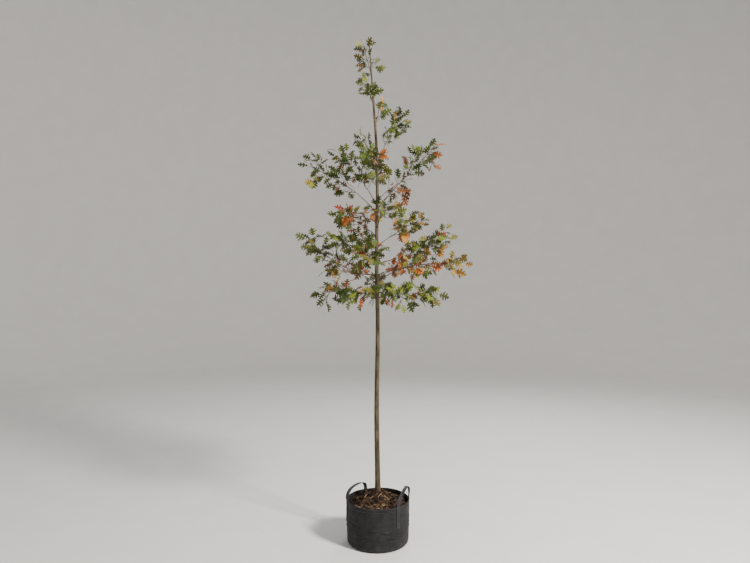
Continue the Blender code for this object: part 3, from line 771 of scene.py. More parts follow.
def add_node(tree, kind, inputs=None, **settings):
    """A node with its settings, and its inputs linked or set. Colours are given without alpha."""
    node = tree.nodes.new(kind)
    for name, value in settings.items():
        setattr(node, name, value)
    for name, value in (inputs or {}).items():
        set_input(tree, node.inputs[name], value)
    return node


def set_input(tree, socket, value):
    """Links a socket to another one, or sets its value."""
    if isinstance(value, bpy.types.NodeSocket):
        tree.links.new(value, socket)
    elif socket.type == "RGBA":
        socket.default_value = (*value, 1.0)
    else:
        socket.default_value = value


def new_tree(name, tree_kind, inputs, outputs):
    """A node group: its tree, the sockets of its two end nodes and the identifiers of its own.

    A socket is given by its kind, or by the number that it starts from.
    """
    tree = bpy.data.node_groups.new(name, tree_kind)
    identifiers = {}
    for way, sockets in (("INPUT", inputs), ("OUTPUT", outputs)):
        for socket_name, value in sockets.items():
            kind = {float: "Float", int: "Int"}.get(type(value), value)
            socket = tree.interface.new_socket(socket_name, in_out=way, socket_type="NodeSocket" + kind)
            if kind != value:
                socket.default_value = value
            identifiers[socket_name] = socket.identifier
    given = tree.nodes.new("NodeGroupInput").outputs
    result = tree.nodes.new("NodeGroupOutput").inputs
    return tree, given, result, identifiers


def arithmetic(tree, operation, *values):
    """The result of a Math node on numbers or sockets."""
    return add_node(tree, "ShaderNodeMath", dict(enumerate(values)), operation=operation).outputs[0]


def opposite(tree, value):
    """1 where the value is 0, and 0 where it is 1."""
    return arithmetic(tree, "SUBTRACT", 1.0, value)


def from_to(tree, share, low, high):
    """Runs from low to high as the share runs from 0 to 1."""
    return arithmetic(tree, "MULTIPLY_ADD", share, high - low, low)


def stepped(tree, value, low, high):
    """0 below low, 1 above high, and smooth between them."""
    inputs = {"Value": value, "From Min": low, "From Max": high}
    return add_node(tree, "ShaderNodeMapRange", inputs, interpolation_type="SMOOTHSTEP").outputs["Result"]


def blend_colours(tree, share, first, second):
    """A Mix node's sockets are found by place, because each of its kinds repeats their names."""
    return add_node(tree, "ShaderNodeMix", {0: share, 6: first, 7: second}, data_type="RGBA").outputs[2]


def noise_pattern(tree, where, scale, detail):
    """A soft noise, from 0 to 1."""
    inputs = {"Vector": where, "Scale": scale, "Detail": detail}
    return add_node(tree, "ShaderNodeTexNoise", inputs).outputs["Fac"]


def drawn_out(tree, given):
    """The given place, squeezed along Z, so that what is drawn there comes out long."""
    squeeze = arithmetic(tree, "DIVIDE", 1.0, given["Stretch"])
    sizes = add_node(tree, "ShaderNodeCombineXYZ", {"X": 1.0, "Y": 1.0, "Z": squeeze}).outputs[0]
    factors = {0: given["Vector"], 1: sizes}
    return add_node(tree, "ShaderNodeVectorMath", factors, operation="MULTIPLY").outputs[0]


def mottle_group():
    """Soft patches of two sizes, from 0 to 1, stretched along Z when Stretch is over 1."""
    inputs = {"Vector": "Vector", "Scale": 20.0, "Stretch": 1.0, "Fineness": 5.0}
    outputs = {"Patches": "Float", "Grain": "Float"}
    tree, given, result, _ = new_tree("mottle", "ShaderNodeTree", inputs, outputs)
    where = drawn_out(tree, given)
    broad = noise_pattern(tree, where, given["Scale"], PATCH_DETAIL)
    fine_scale = arithmetic(tree, "MULTIPLY", given["Scale"], given["Fineness"])
    fine = noise_pattern(tree, where, fine_scale, GRAIN_DETAIL)
    tree.links.new(stepped(tree, broad, *PATCH_EDGE), result["Patches"])
    tree.links.new(stepped(tree, fine, *GRAIN_EDGE), result["Grain"])
    return tree


def weave_group():
    """Plain weave on a flat pattern in metres: height of the yarns, and a mask of the spaces between them,
    which the cloth darkens as painted shade.
    """
    inputs, outputs = {"Vector": "Vector", "Yarns": 600.0}, {"Height": "Float", "Gaps": "Float"}
    tree, given, result, _ = new_tree("weave", "ShaderNodeTree", inputs, outputs)
    flat = add_node(tree, "ShaderNodeSeparateXYZ", {"Vector": given["Vector"]}).outputs
    pace = arithmetic(tree, "MULTIPLY", given["Yarns"], math.pi)
    warp = arithmetic(tree, "SINE", arithmetic(tree, "MULTIPLY", flat["X"], pace))
    weft = arithmetic(tree, "SINE", arithmetic(tree, "MULTIPLY", flat["Y"], pace))
    crossing = arithmetic(tree, "MULTIPLY", warp, weft)
    tree.links.new(arithmetic(tree, "MULTIPLY_ADD", crossing, 0.5, 0.5), result["Height"])
    yarn = stepped(tree, arithmetic(tree, "ABSOLUTE", crossing), *YARN_EDGE)
    tree.links.new(opposite(tree, yarn), result["Gaps"])
    return tree


def dust_group():
    """Pale dust that lies thickest low down and in patches."""
    inputs = {"Color": "Color", "Dust": "Color", "Vector": "Vector", "Amount": 0.3, "Reach": 0.1}
    tree, given, result, _ = new_tree("dust", "ShaderNodeTree", inputs, {"Color": "Color"})
    height = add_node(tree, "ShaderNodeSeparateXYZ", {"Vector": given["Vector"]}).outputs["Z"]
    share = arithmetic(tree, "DIVIDE", height, given["Reach"])
    low_down = opposite(tree, stepped(tree, share, 0.0, 1.0))
    patches = stepped(tree, noise_pattern(tree, given["Vector"], DUST_PATCHES, DUST_DETAIL), *DUST_EDGE)
    lying = arithmetic(tree, "MULTIPLY", patches, from_to(tree, low_down, DUST_HIGH_UP, 1.0))
    mask = arithmetic(tree, "MULTIPLY", lying, given["Amount"])
    tree.links.new(blend_colours(tree, mask, given["Color"], given["Dust"]), result["Color"])
    return tree


def fissure_group():
    """Thin wandering lines that run mostly along Z, from 0 between them to 1 along them."""
    inputs = {"Vector": "Vector", "Scale": 150.0, "Stretch": 10.0, "Width": 0.05}
    tree, given, result, _ = new_tree("fissures", "ShaderNodeTree", inputs, {"Lines": "Float"})
    wander = noise_pattern(tree, drawn_out(tree, given), given["Scale"], FISSURE_DETAIL)
    off_line = arithmetic(tree, "ABSOLUTE", arithmetic(tree, "SUBTRACT", wander, 0.5))
    share = arithmetic(tree, "DIVIDE", off_line, given["Width"])
    tree.links.new(opposite(tree, stepped(tree, share, *FISSURE_EDGE)), result["Lines"])
    return tree


GROUPS = {
    "mottle": mottle_group(),
    "weave": weave_group(),
    "dust": dust_group(),
    "fissures": fissure_group(),
}


# Finishes


class Finish:
    """A material being made: its tree, its shader and the places that its patterns read."""

    def __init__(self, name, sockets):
        self.material = bpy.data.materials.new(name)
        self.material.use_nodes = True
        self.tree = self.material.node_tree
        self.shader = self.tree.nodes["Principled BSDF"]
        self.feed(sockets)
        places = self.tree.nodes.new("ShaderNodeTexCoord")
        self.where = places.outputs["Object"]
        self.flat = places.outputs["UV"]

    def feed(self, sockets):
        """Links or sets some of the shader's inputs."""
        for name, value in sockets.items():
            set_input(self.tree, self.shader.inputs[name], value)

    def pattern(self, group, where=None, **inputs):
        """The outputs of a shared pattern, drawn on the object unless another place is given."""
        inputs = {"Vector": where or self.where, **inputs}
        return add_node(self.tree, "ShaderNodeGroup", inputs, node_tree=GROUPS[group]).outputs

    def raised(self, height, distance):
        """Raises the surface by the height pattern, which is that many metres deep."""
        bump = add_node(self.tree, "ShaderNodeBump", {"Height": height, "Distance": distance})
        self.feed({"Normal": bump.outputs["Normal"]})


def cloth_finish(cloth):
    """Dusty woven cloth, without its relief, and the two patterns that the relief comes from."""
    finish = Finish(cloth.name, {"Specular IOR Level": cloth.gloss, "Sheen Weight": cloth.sheen})
    tree = finish.tree
    mottle = finish.pattern("mottle", Scale=cloth.patches, Fineness=cloth.fineness)
    weave = finish.pattern("weave", finish.flat, Yarns=cloth.yarns)
    colour = blend_colours(tree, mottle["Patches"], *cloth.tones)
    # The spaces between the yarns take painted shade
    colour = blend_colours(tree, weave["Gaps"], colour, cloth.gaps)
    amount, reach = cloth.dusting
    dusty = finish.pattern("dust", Color=colour, Dust=cloth.dust, Amount=amount, Reach=reach)
    roughness = from_to(tree, mottle["Grain"], *cloth.roughness)
    finish.feed({"Base Color": dusty["Color"], "Roughness": roughness})
    return finish, mottle, weave


def bag_finish():
    """Black woven fabric with a faint fuzz."""
    finish, mottle, weave = cloth_finish(BAG_CLOTH)
    fuzz = arithmetic(finish.tree, "MULTIPLY_ADD", mottle["Grain"], BAG_FUZZ, weave["Height"])
    finish.raised(fuzz, BAG_RELIEF)
    return finish.material


def strap_finish():
    """Black webbing, woven tighter than the bag."""
    finish, _, weave = cloth_finish(STRAP_CLOTH)
    finish.raised(weave["Height"], STRAP_RELIEF)
    return finish.material


def thread_finish():
    """Dark grey thread with a slight sheen."""
    finish = Finish("stitching_thread", {"Roughness": THREAD_ROUGHNESS, "Sheen Weight": THREAD_SHEEN})
    mottle = finish.pattern("mottle", Scale=THREAD_PATCHES, Fineness=THREAD_FINENESS)
    finish.feed({"Base Color": blend_colours(finish.tree, mottle["Patches"], *THREAD_TONES)})
    finish.raised(mottle["Grain"], THREAD_RELIEF)
    return finish.material


def lichen_film(finish, bark):
    """How much a thin film of lichen covers, in patches that are finely broken up."""
    sizes = {"Scale": bark.patches * LICHEN_SCALE, "Stretch": LICHEN_STRETCH, "Fineness": LICHEN_FINENESS}
    bloom = finish.pattern("mottle", **sizes)
    film = arithmetic(finish.tree, "MULTIPLY", bloom["Patches"], bloom["Grain"])
    return arithmetic(finish.tree, "MULTIPLY", film, LICHEN_COVER)


def pore_spots(finish):
    """Breathing pores: 1 on each, and 0 between them."""
    squeezed = {"Vector": finish.where, "Scale": PORE_FLATTENING}
    flatter = add_node(finish.tree, "ShaderNodeMapping", squeezed).outputs[0]
    spots = add_node(finish.tree, "ShaderNodeTexVoronoi", {"Vector": flatter, "Scale": PORES})
    return opposite(finish.tree, stepped(finish.tree, spots.outputs["Distance"], *PORE_EDGE))


def split_shade_share(finish, bark, lines):
    """How dark the painted shade in the bark's splits is: its fine lines, and the cracks of the relief
    where it has them.
    """
    tree = finish.tree
    crack = add_node(tree, "ShaderNodeAttribute", attribute_name="crack").outputs["Fac"]
    deep = arithmetic(tree, "MULTIPLY", crack, CRACK_SHADE_COVER)
    return arithmetic(tree, "MAXIMUM", deep, arithmetic(tree, "MULTIPLY", lines, bark.splitting))


def bark_finish(bark):
    """Young bark: long patches, fine grain, a film of lichen, pale breathing pores and painted shade in its
    cracks.
    """
    finish = Finish(bark.name, {"Specular IOR Level": BARK_GLOSS})
    tree = finish.tree
    dark, pale = bark.tones
    mottle = finish.pattern("mottle", Scale=bark.patches, Stretch=bark.stretch, Fineness=BARK_FINENESS)
    colour = blend_colours(tree, mottle["Patches"], dark, pale)
    colour = blend_colours(tree, lichen_film(finish, bark), colour, bark.lichen)
    pore = pore_spots(finish)
    pore_colour = tuple(PORE_PALENESS * channel for channel in pale)
    colour = blend_colours(tree, arithmetic(tree, "MULTIPLY", pore, PORE_COVER), colour, pore_colour)
    sizes = {"Scale": bark.patches * LINE_SCALE, "Stretch": bark.stretch * LINE_STRETCH}
    lines = finish.pattern("fissures", Width=LINE_WIDTH, **sizes)["Lines"]
    # Painted shade in the cracks and fine lines
    crack_shade_colour = tuple(CRACK_SHADE_TONE * channel for channel in dark)
    colour = blend_colours(tree, split_shade_share(finish, bark, lines), colour, crack_shade_colour)
    finish.feed({"Base Color": colour, "Roughness": from_to(tree, mottle["Grain"], *BARK_ROUGHNESS)})
    height = arithmetic(tree, "MULTIPLY_ADD", pore, PORE_RISE, mottle["Grain"])
    height = arithmetic(tree, "MULTIPLY_ADD", lines, -LINE_SINK * bark.splitting, height)
    finish.raised(height, BARK_RELIEF)
    return finish.material


def leaf_finish(name, colour):
    """One plain leaf colour with a waxy skin and raised veins."""
    finish = Finish(name, {"Base Color": colour, "Specular IOR Level": LEAF_GLOSS})
    tree = finish.tree
    blade = add_node(tree, "ShaderNodeSeparateXYZ", {"Vector": finish.flat}).outputs
    across = arithmetic(tree, "ABSOLUTE", blade["Y"])
    midrib = opposite(tree, stepped(tree, across, 0.0, MIDRIB_HALF_WIDTH))
    fan = arithmetic(tree, "MULTIPLY_ADD", across, -VEIN_SLANT, blade["X"])
    waves = arithmetic(tree, "SINE", arithmetic(tree, "MULTIPLY", fan, 2 * math.pi / VEIN_SPACING))
    side_veins = arithmetic(tree, "MULTIPLY", stepped(tree, waves, VEIN_EDGE, 1.0), VEIN_RISE)
    veins = arithmetic(tree, "MAXIMUM", midrib, side_veins)
    mottle = finish.pattern("mottle", Scale=LEAF_PATCHES, Fineness=LEAF_FINENESS)
    finish.feed({"Roughness": from_to(tree, mottle["Patches"], *LEAF_ROUGHNESS)})
    relief = arithmetic(tree, "MULTIPLY_ADD", mottle["Grain"], LEAF_GRAIN_RISE, veins)
    finish.raised(relief, LEAF_RELIEF)
    return finish.material


def wood_finish(name, tones, roughness):
    """A chip or crumb of bark, a bud or compost: split grain, torn patches and painted shade in hollows."""
    finish = Finish(name, {"Roughness": roughness, "Specular IOR Level": WOOD_GLOSS})
    tree = finish.tree
    mottle = finish.pattern("mottle", Scale=WOOD_PATCHES, Fineness=WOOD_FINENESS)
    colour = blend_colours(tree, mottle["Patches"], *tones)
    # Painted shade in the hollows of the grain
    hollow_shade = arithmetic(tree, "MULTIPLY", mottle["Grain"], WOOD_HOLLOW_SHADE)
    hollow_shade_colour = tuple(WOOD_HOLLOW_SHADE_TONE * channel for channel in tones[0])
    finish.feed({"Base Color": blend_colours(tree, hollow_shade, colour, hollow_shade_colour)})
    finish.raised(mottle["Grain"], WOOD_RELIEF)
    return finish.material


def floor_finish():
    """A pale matt floor, hardly mottled."""
    finish = Finish("pale_floor", {"Roughness": FLOOR_ROUGHNESS})
    mottle = finish.pattern("mottle", Scale=FLOOR_PATCHES)
    finish.feed({"Base Color": blend_colours(finish.tree, mottle["Patches"], *FLOOR_TONES)})
    return finish.material


# Grow bag


def crease_list():
    """The creases that show from the front, and smaller ones all round."""
    chance = random.Random("grow bag")
    found = [crease._replace(turn=math.radians(crease.turn)) for crease in CHOSEN_CREASES]
    for _ in range(CREASES):
        turn = chance.uniform(0, 2 * math.pi)
        height, run = chance.uniform(*CREASE_HEIGHTS), chance.uniform(*CREASE_RUNS)
        slope = chance.gauss(0, CREASE_SLOPE_SPREAD)
        depth, width = chance.uniform(*CREASE_DEPTHS), chance.uniform(*CREASE_WIDTHS)
        found.append(Crease(turn, height, run, slope, depth, width))
    return found


CREASE_LIST = crease_list()


def round_wall(turns, turn):
    """Signed distances round the wall from one turn to others."""
    return np.angle(np.exp(1j * (turns - turn))) * RIM_RADIUS


def sway(waves, turns):
    """The sum of some waves that go round in whole lobes."""
    return sum(wave.share * np.sin(wave.lobes * turns + wave.start) for wave in waves)


def wall_grain(grain, turns, heights):
    """A soft random pattern on the wall, which joins up all the way round."""
    spots = zip(RIM_RADIUS * np.cos(turns), RIM_RADIUS * np.sin(turns), heights)
    return np.array([grain_at(grain, x, y, z) for x, y, z in spots])


def slack(turns, heights):
    """How far the filled fabric stands off its plain round form, for arrays of places."""
    share = np.clip(heights / BAG_HEIGHT, 0, 1)
    free = np.sin(np.pi * share) ** FULLNESS
    off = BELLY * free
    off += ROUNDNESS_LOSS * sway(OUT_OF_ROUND, turns) * between((ROUND_AT_ENDS, 1), free)
    for crease in CREASE_LIST:
        sweep = round_wall(turns, crease.turn)
        rise = (heights - crease.height - crease.slope * sweep) / crease.width
        hollow = HOLLOW_DEPTH * np.exp(-(((rise + HOLLOW_DROP) / HOLLOW_WIDTH) ** 2))
        fade = np.exp(-((sweep / crease.run) ** CREASE_END_POWER))
        off += crease.depth * (np.exp(-(rise**2)) - hollow) * fade * free
    off += CRUMPLE * wall_grain(CRUMPLE_GRAIN, turns, heights) * between((CRUMPLE_AT_ENDS, 1), free)
    off += FINE_CRUMPLE * wall_grain(FINE_CRUMPLE_GRAIN, turns, heights)
    gathers = np.abs(np.sin(GATHERS * turns + GATHER_WANDER * np.sin(2 * turns))) - 0.5
    off += GATHER_DEPTH * gathers * np.exp(-(((heights - GATHER_HEIGHT) / GATHER_HEIGHT) ** 2))
    inside_seam = SEAM_WIDTH / 2 + SEAM_EDGE - np.abs(round_wall(turns, SEAM_TURN))
    off += SEAM_LIFT * np.clip(inside_seam / (2 * SEAM_EDGE), 0, 1)
    return np.maximum(off, -DEEPEST_DENT)


def rim_rise(turns, heights):
    """How far the rim waves up and down, fading towards the foot."""
    return RIM_WAVE * sway(RIM_SWAY, turns) * (heights / BAG_HEIGHT) ** RIM_SWAY_POWER


def wall_radius(height):
    """Radius of the bag's even wall at a height."""
    return between((FOOT_RADIUS, RIM_RADIUS), height / BAG_HEIGHT)


def bag_turns():
    """Angles of the shell's columns, closer together at the seam's two edges."""
    edges = [side * (SEAM_WIDTH / 2 + step) for side in (-1, 1) for step in (-SEAM_EDGE, SEAM_EDGE)]
    return np.array(sorted(turns_round(BAG_COLUMNS) + [SEAM_TURN + edge / RIM_RADIUS for edge in edges]))


def bag_profile():
    """Rows of the shell from the floor's middle up outside, over the rim and back down inside.

    Each is a radius, a height, and how much of the fabric's slack it takes.
    """
    rows = [(radius, 0, 0) for radius in FLOOR_RINGS]
    for i in range(1, CORNER_STEPS + 1):
        angle = math.radians(90) * i / CORNER_STEPS
        radius = FOOT_RADIUS - FOOT_ROUNDING * (1 - math.sin(angle))
        rows.append((radius, FOOT_ROUNDING * (1 - math.cos(angle)), math.sin(angle) ** 2))
    for i in range(1, WALL_ROWS + 1):
        height = between((FOOT_ROUNDING, HEM_FOOT), i / WALL_ROWS)
        rows.append((wall_radius(height), height, 1))
    for share, lift in HEM_OUTSIDE:
        height = HEM_FOOT + HEM_HEIGHT * share
        rows.append((wall_radius(height) + HEM_LIFT * lift, height, 1))
    edge = (CLOTH + 2 * HEM_LIFT) / 2
    middle = RIM_RADIUS + HEM_LIFT - edge
    for i in range(RIM_STEPS + 1):
        angle = math.pi * i / RIM_STEPS
        height = BAG_HEIGHT - edge * (1 - math.sin(angle))
        rows.append((middle + edge * math.cos(angle), height, 1))
    for share, lift in HEM_INSIDE:
        height = HEM_FOOT + HEM_HEIGHT * share
        rows.append((wall_radius(height) - CLOTH - HEM_LIFT * lift, height, 1))
    rows += [(wall_radius(height) - CLOTH, height, 1) for height in INNER_WALL]
    rows += [(radius, height, 0) for radius, height in INNER_FLOOR]
    return rows


def make_bag(fabric):
    """The bag as one closed shell, with the creases and gathers of a filled bag."""
    rows, turns = bag_profile(), bag_turns()
    points, uvs, run = [], [], 0.0
    for i, (radius, height, give) in enumerate(rows):
        heights = np.full(len(turns), height)
        reach = radius + give * slack(turns, heights)
        level = heights + rim_rise(turns, heights)
        points.append(np.stack([reach * np.cos(turns), reach * np.sin(turns), level], axis=1))
        if i:
            run += math.hypot(radius - rows[i - 1][0], height - rows[i - 1][1])
        uvs.append(np.stack([turns * RIM_RADIUS, np.full(len(turns), run)], axis=1))
    skin = Skin()
    skin.add(np.concatenate(points), closed_faces(len(rows), len(turns)), uvs=np.concatenate(uvs))
    return place(skin.piece("grow_bag_shell", [fabric], smooth_degrees=60), "bag_fabric", "grow_bag")


def wall_point(turn, height, stand_off):
    """A point on the bag's outside, or that far off it."""
    turns, heights = np.array([turn]), np.array([height])
    lift = HEM_LIFT if height > HEM_FOOT else 0.0
    reach = wall_radius(height) + lift + float(slack(turns, heights)[0]) + stand_off
    point = outward_at(turn) * reach
    point.z = height + float(rim_rise(turns, heights)[0])
    return point


# Straps


def arch_point(strap, first, last, share):
    """A point of a strap's free arch, between its two ends at the rim."""
    angle = math.pi * share
    start, end = (wall_point(turn, BAG_HEIGHT, STRAP_STAND_OFF) for turn in (first, last))
    lift = math.sin(angle)
    outward = outward_at((first + last) / 2)
    point = start.lerp(end, (1 - math.cos(angle)) / 2)
    point += outward * lift * (strap.lean + ARCH_SWAY * math.sin(2 * angle))
    point.z += strap.rise * lift + ARCH_DIP * math.sin(3 * angle)
    return point


def strap_line(strap):
    """Points and width directions of a strap, from one sewn end to the other."""
    first, last = math.radians(strap.front_end), math.radians(strap.rear_end)
    swing = math.radians(90) - abs(last - first) / 2
    if last > first:
        swing = -swing
    tail = [STRAP_TAIL * step / TAIL_STEPS for step in range(TAIL_STEPS + 1)]
    line = [(0.0, wall_point(first, BAG_HEIGHT - drop, STRAP_STAND_OFF)) for drop in reversed(tail)]
    for share in (i / ARCH_STEPS for i in range(1, ARCH_STEPS)):
        line.append((share, arch_point(strap, first, last, share)))
    line += [(1.0, wall_point(last, BAG_HEIGHT - drop, STRAP_STAND_OFF)) for drop in tail]
    path = []
    for share, point in line:
        twist = math.radians(strap.twist) * max(0.0, math.sin(2 * math.pi * share)) ** TWIST_POWER
        path.append((point, outward_at((first + last) / 2 + swing * (2 * share - 1) + twist)))
    return path


def strap_section():
    """The outline of a strap cut across: flat, with a rolled edge on both sides."""
    upper = STRAP_QUARTER + [(-x, y) for x, y in reversed(STRAP_QUARTER[:-1])]
    return upper + [(-x, -y) for x, y in upper]


def make_strap(strap, fabric):
    """A strap as one length of webbing, with a rolled edge on both sides."""
    path, section = strap_line(strap), strap_section()
    points, uvs, run = [], [], 0.0
    for i, (centre, across) in enumerate(path):
        before, after = path[max(i - 1, 0)][0], path[min(i + 1, len(path) - 1)][0]
        heading = (after - before).normalized()
        face = heading.cross(across).normalized()
        across = face.cross(heading)
        run += (centre - before).length
        for share, depth in section:
            points.append((centre + across * STRAP_WIDTH * share + face * STRAP_THICKNESS * depth)[:])
            uvs.append((run, STRAP_WIDTH * share))
    skin = Skin()
    skin.add(points, closed_faces(len(path), len(section)), uvs=uvs)
    webbing = skin.piece(strap.name + "_webbing", [fabric], smooth_degrees=50)
    return place(webbing, "strap_fabric", strap.name)


# Stitches


def stitch_tree(thread):
    """Geometry Nodes: short rounded stitches laid end to end along a line."""
    inputs = {"Geometry": "Geometry", **HEM_STITCH}
    tree, given, result, sizes = new_tree("stitch_row", "GeometryNodeTree", inputs, {"Rows": "Geometry"})
    line = add_node(tree, "GeometryNodeMeshToCurve", {"Mesh": given["Geometry"]}).outputs["Curve"]
    pace = {"Curve": line, "Length": given["Pitch"]}
    spots = add_node(tree, "GeometryNodeResampleCurve", pace, mode="LENGTH").outputs["Curve"]
    along = tree.nodes.new("GeometryNodeInputTangent").outputs["Tangent"]
    turn = add_node(tree, "FunctionNodeAlignRotationToVector", {"Vector": along}, axis="Z").outputs[0]
    radius = arithmetic(tree, "MULTIPLY", given["Thread"], 0.5)
    shape = {"Vertices": THREAD_SIDES, "Radius": radius, "Depth": given["Stitch"]}
    stitch = add_node(tree, "GeometryNodeMeshCylinder", shape).outputs["Mesh"]
    laid = {"Points": spots, "Instance": stitch, "Rotation": turn}
    rows = add_node(tree, "GeometryNodeInstanceOnPoints", laid).outputs["Instances"]
    tree.links.new(made_real(tree, rows, thread), result["Rows"])
    return tree, sizes


def made_real(tree, instances, material):
    """Turns instances into plain mesh in one finish."""
    real = add_node(tree, "GeometryNodeRealizeInstances", {"Geometry": instances}).outputs["Geometry"]
    dressed = {"Geometry": real, "Material": material}
    return add_node(tree, "GeometryNodeSetMaterial", dressed).outputs["Geometry"]


def make_stitches(name, slot, lines, tree, sizes, stitch):
    """A piece of stitches along several lines of points."""
    mesh = bpy.data.meshes.new(name)
    points, edges = [], []
    for line in lines:
        start = len(points)
        points.extend(point[:] for point in line)
        edges.extend((start + i, start + i + 1) for i in range(len(line) - 1))
    mesh.from_pydata(points, edges, [])
    holder = in_scene(name, mesh)
    modifier = holder.modifiers.new("stitches", "NODES")
    modifier.node_group = tree
    for size, value in stitch.items():
        modifier[sizes[size]] = value
    return place(baked(holder), slot)


def hem_lines():
    """Two rows of stitches round the hem, and one on each side of the back seam."""
    lines = []
    for height in HEM_ROWS:
        turns = turns_round(HEM_STEPS) + [2 * math.pi]
        lines.append([wall_point(turn, height, THREAD_LIFT) for turn in turns])
    for aside in (-SEAM_ROW_ASIDE, SEAM_ROW_ASIDE):
        turn = SEAM_TURN + aside / RIM_RADIUS
        heights = [SEAM_ROW_FOOT + i * SEAM_ROW_STEP for i in range(SEAM_ROW_POINTS)]
        lines.append([wall_point(turn, height, THREAD_LIFT) for height in heights])
    return lines


def sewn_line(turn, route):
    """Points on a strap's sewn end along a route, which is given aside from its middle and in height."""
    across = Vector((-math.sin(turn), math.cos(turn), 0))
    stand_off = STRAP_STAND_OFF + STRAP_THICKNESS / 2 + THREAD_LIFT / 2
    line = []
    for (aside, height), (next_aside, next_height) in zip(route, route[1:]):
        for share in (k / ROUTE_STEPS for k in range(ROUTE_STEPS + 1)):
            middle = wall_point(turn, between((height, next_height), share), stand_off)
            line.append(middle + across * between((aside, next_aside), share))
    return line


def strap_lines(strap):
    """A sewn box with a cross at each end of a strap, and two bars under the rim."""
    half = STRAP_WIDTH / 2 - BOX_INSET
    foot = BAG_HEIGHT - STRAP_TAIL
    low, high = foot + BOX_INSET, foot + BOX_HEIGHT
    box = [(-half, low), (half, low), (half, high), (-half, high), (-half, low), (half, high)]
    routes = [box, [(half, low), (-half, high)]]
    routes += [[(-half, BAG_HEIGHT - drop), (half, BAG_HEIGHT - drop)] for drop in BAR_DROPS]
    ends = (math.radians(strap.front_end), math.radians(strap.rear_end))
    return [sewn_line(turn, route) for turn in ends for route in routes]


# Compost and bark chips


def mound(x, y):
    """Height of the heaped compost above its edge."""
    foot = stem_point(0)
    away = math.hypot(x - foot.x, y - foot.y)
    return MOUND_HEIGHT * math.exp(-((away / MOUND_SPREAD) ** 2))


def stem_foot_height():
    """Height of the stem's flat cut, in the hollow at the top of the compost."""
    foot = stem_point(0)
    return COMPOST_EDGE + mound(foot.x, foot.y) - STEM_RECESS + GAP


COMPOST_SIDE = wall_radius(COMPOST_EDGE) - CLOTH - GAP


def heap_point(turn, reach):
    """A point on the lumpy top of the compost."""
    x, y = reach * math.cos(turn), reach * math.sin(turn)
    fade = 1 - min(1.0, reach / COMPOST_SIDE) ** MOUND_EDGE_POWER
    lumps = grain_at(LUMPS, x, y, 0) + FINE_LUMP_SHARE * grain_at(FINE_LUMPS, x, y, 0)
    return (x, y, COMPOST_EDGE + mound(x, y) * fade + LUMP * lumps)


def make_compost(finish):
    """The filling as one closed form, with a lumpy heap on top."""
    turns = turns_round(HEAP_COLUMNS)
    levels = [(POLE, COMPOST_FLOOR), (COMPOST_FLOOR_RADIUS, COMPOST_FLOOR)]
    levels += [(wall_radius(z) - CLOTH - DEEPEST_DENT, z) for z in (COMPOST_SHOULDER, COMPOST_NECK)]
    points = [(reach * math.cos(turn), reach * math.sin(turn), z) for reach, z in levels for turn in turns]
    rim = COMPOST_SIDE - COMPOST_INSET + slack(np.array(turns), np.full(HEAP_COLUMNS, COMPOST_EDGE))
    for share in (1 - ring / HEAP_RINGS for ring in range(HEAP_RINGS)):
        points += [heap_point(turn, reach * share) for turn, reach in zip(turns, rim)]
    tip = len(points)
    points.append(heap_point(0, 0))
    rows = len(levels) + HEAP_RINGS
    faces = wall_faces(rows, HEAP_COLUMNS) + [tuple(reversed(range(HEAP_COLUMNS)))]
    last = tip - HEAP_COLUMNS
    faces += [(last + here, last + (here + 1) % HEAP_COLUMNS, tip) for here in range(HEAP_COLUMNS)]
    skin = Skin()
    skin.add(points, faces)
    return place(skin.piece("compost_heap", [finish], smooth_degrees=70), "compost", "compost")


def chip_kind(name, chance, length, width, depth):
    """A torn flake of bark: a few uneven rings along its length."""
    rings = []
    for share in (ring / (CHIP_RINGS - 1) for ring in range(CHIP_RINGS)):
        fullness = math.sin(math.pi * (CHIP_END_TURN + (1 - 2 * CHIP_END_TURN) * share))
        swell = between((CHIP_END, 1), fullness) + chance.uniform(*CHIP_SWELLS)
        bow = CHIP_BOW * length * math.sin(math.pi * share) * chance.uniform(*CHIP_BOWS)
        for turn in turns_round(CHIP_SIDES):
            y = width / 2 * math.cos(turn) * swell * chance.uniform(*CHIP_TEARS)
            z = depth / 2 * math.sin(turn) * swell * chance.uniform(*CHIP_SPLITS) + bow
            rings.append((length * (share - 0.5 + chance.uniform(*CHIP_SKEWS)), y, z))
    mesh = bpy.data.meshes.new(name)
    mesh.from_pydata(rings, [], closed_faces(CHIP_RINGS, CHIP_SIDES))
    return bpy.data.objects.new(name, mesh)


def chip_collection(name, shapes):
    """One chip of each shape, in a collection of their own."""
    chance = random.Random(name)
    kinds = bpy.data.collections.new(name)
    bpy.context.scene.collection.children.link(kinds)
    for i, shape in enumerate(shapes):
        kinds.objects.link(chip_kind(f"{name}_{i}", chance, *shape))
    return kinds


def random_lean(tree, tilt):
    """A lean of up to that tilt about two axes, and any turn about the third."""
    ends = []
    for sign in (-1.0, 1.0):
        lean = arithmetic(tree, "MULTIPLY", tilt, sign)
        corner = {"X": lean, "Y": lean, "Z": sign * math.pi}
        ends.append(add_node(tree, "ShaderNodeCombineXYZ", corner).outputs[0])
    lean = add_node(tree, "FunctionNodeRandomValue", dict(enumerate(ends)), data_type="FLOAT_VECTOR")
    return add_node(tree, "FunctionNodeEulerToRotation", {"Euler": lean.outputs[0]}).outputs["Rotation"]


def random_number(tree, low, high):
    """A Random Value node's sockets are found by place, because each of its kinds repeats their names."""
    return add_node(tree, "FunctionNodeRandomValue", {2: low, 3: high}, data_type="FLOAT").outputs[1]


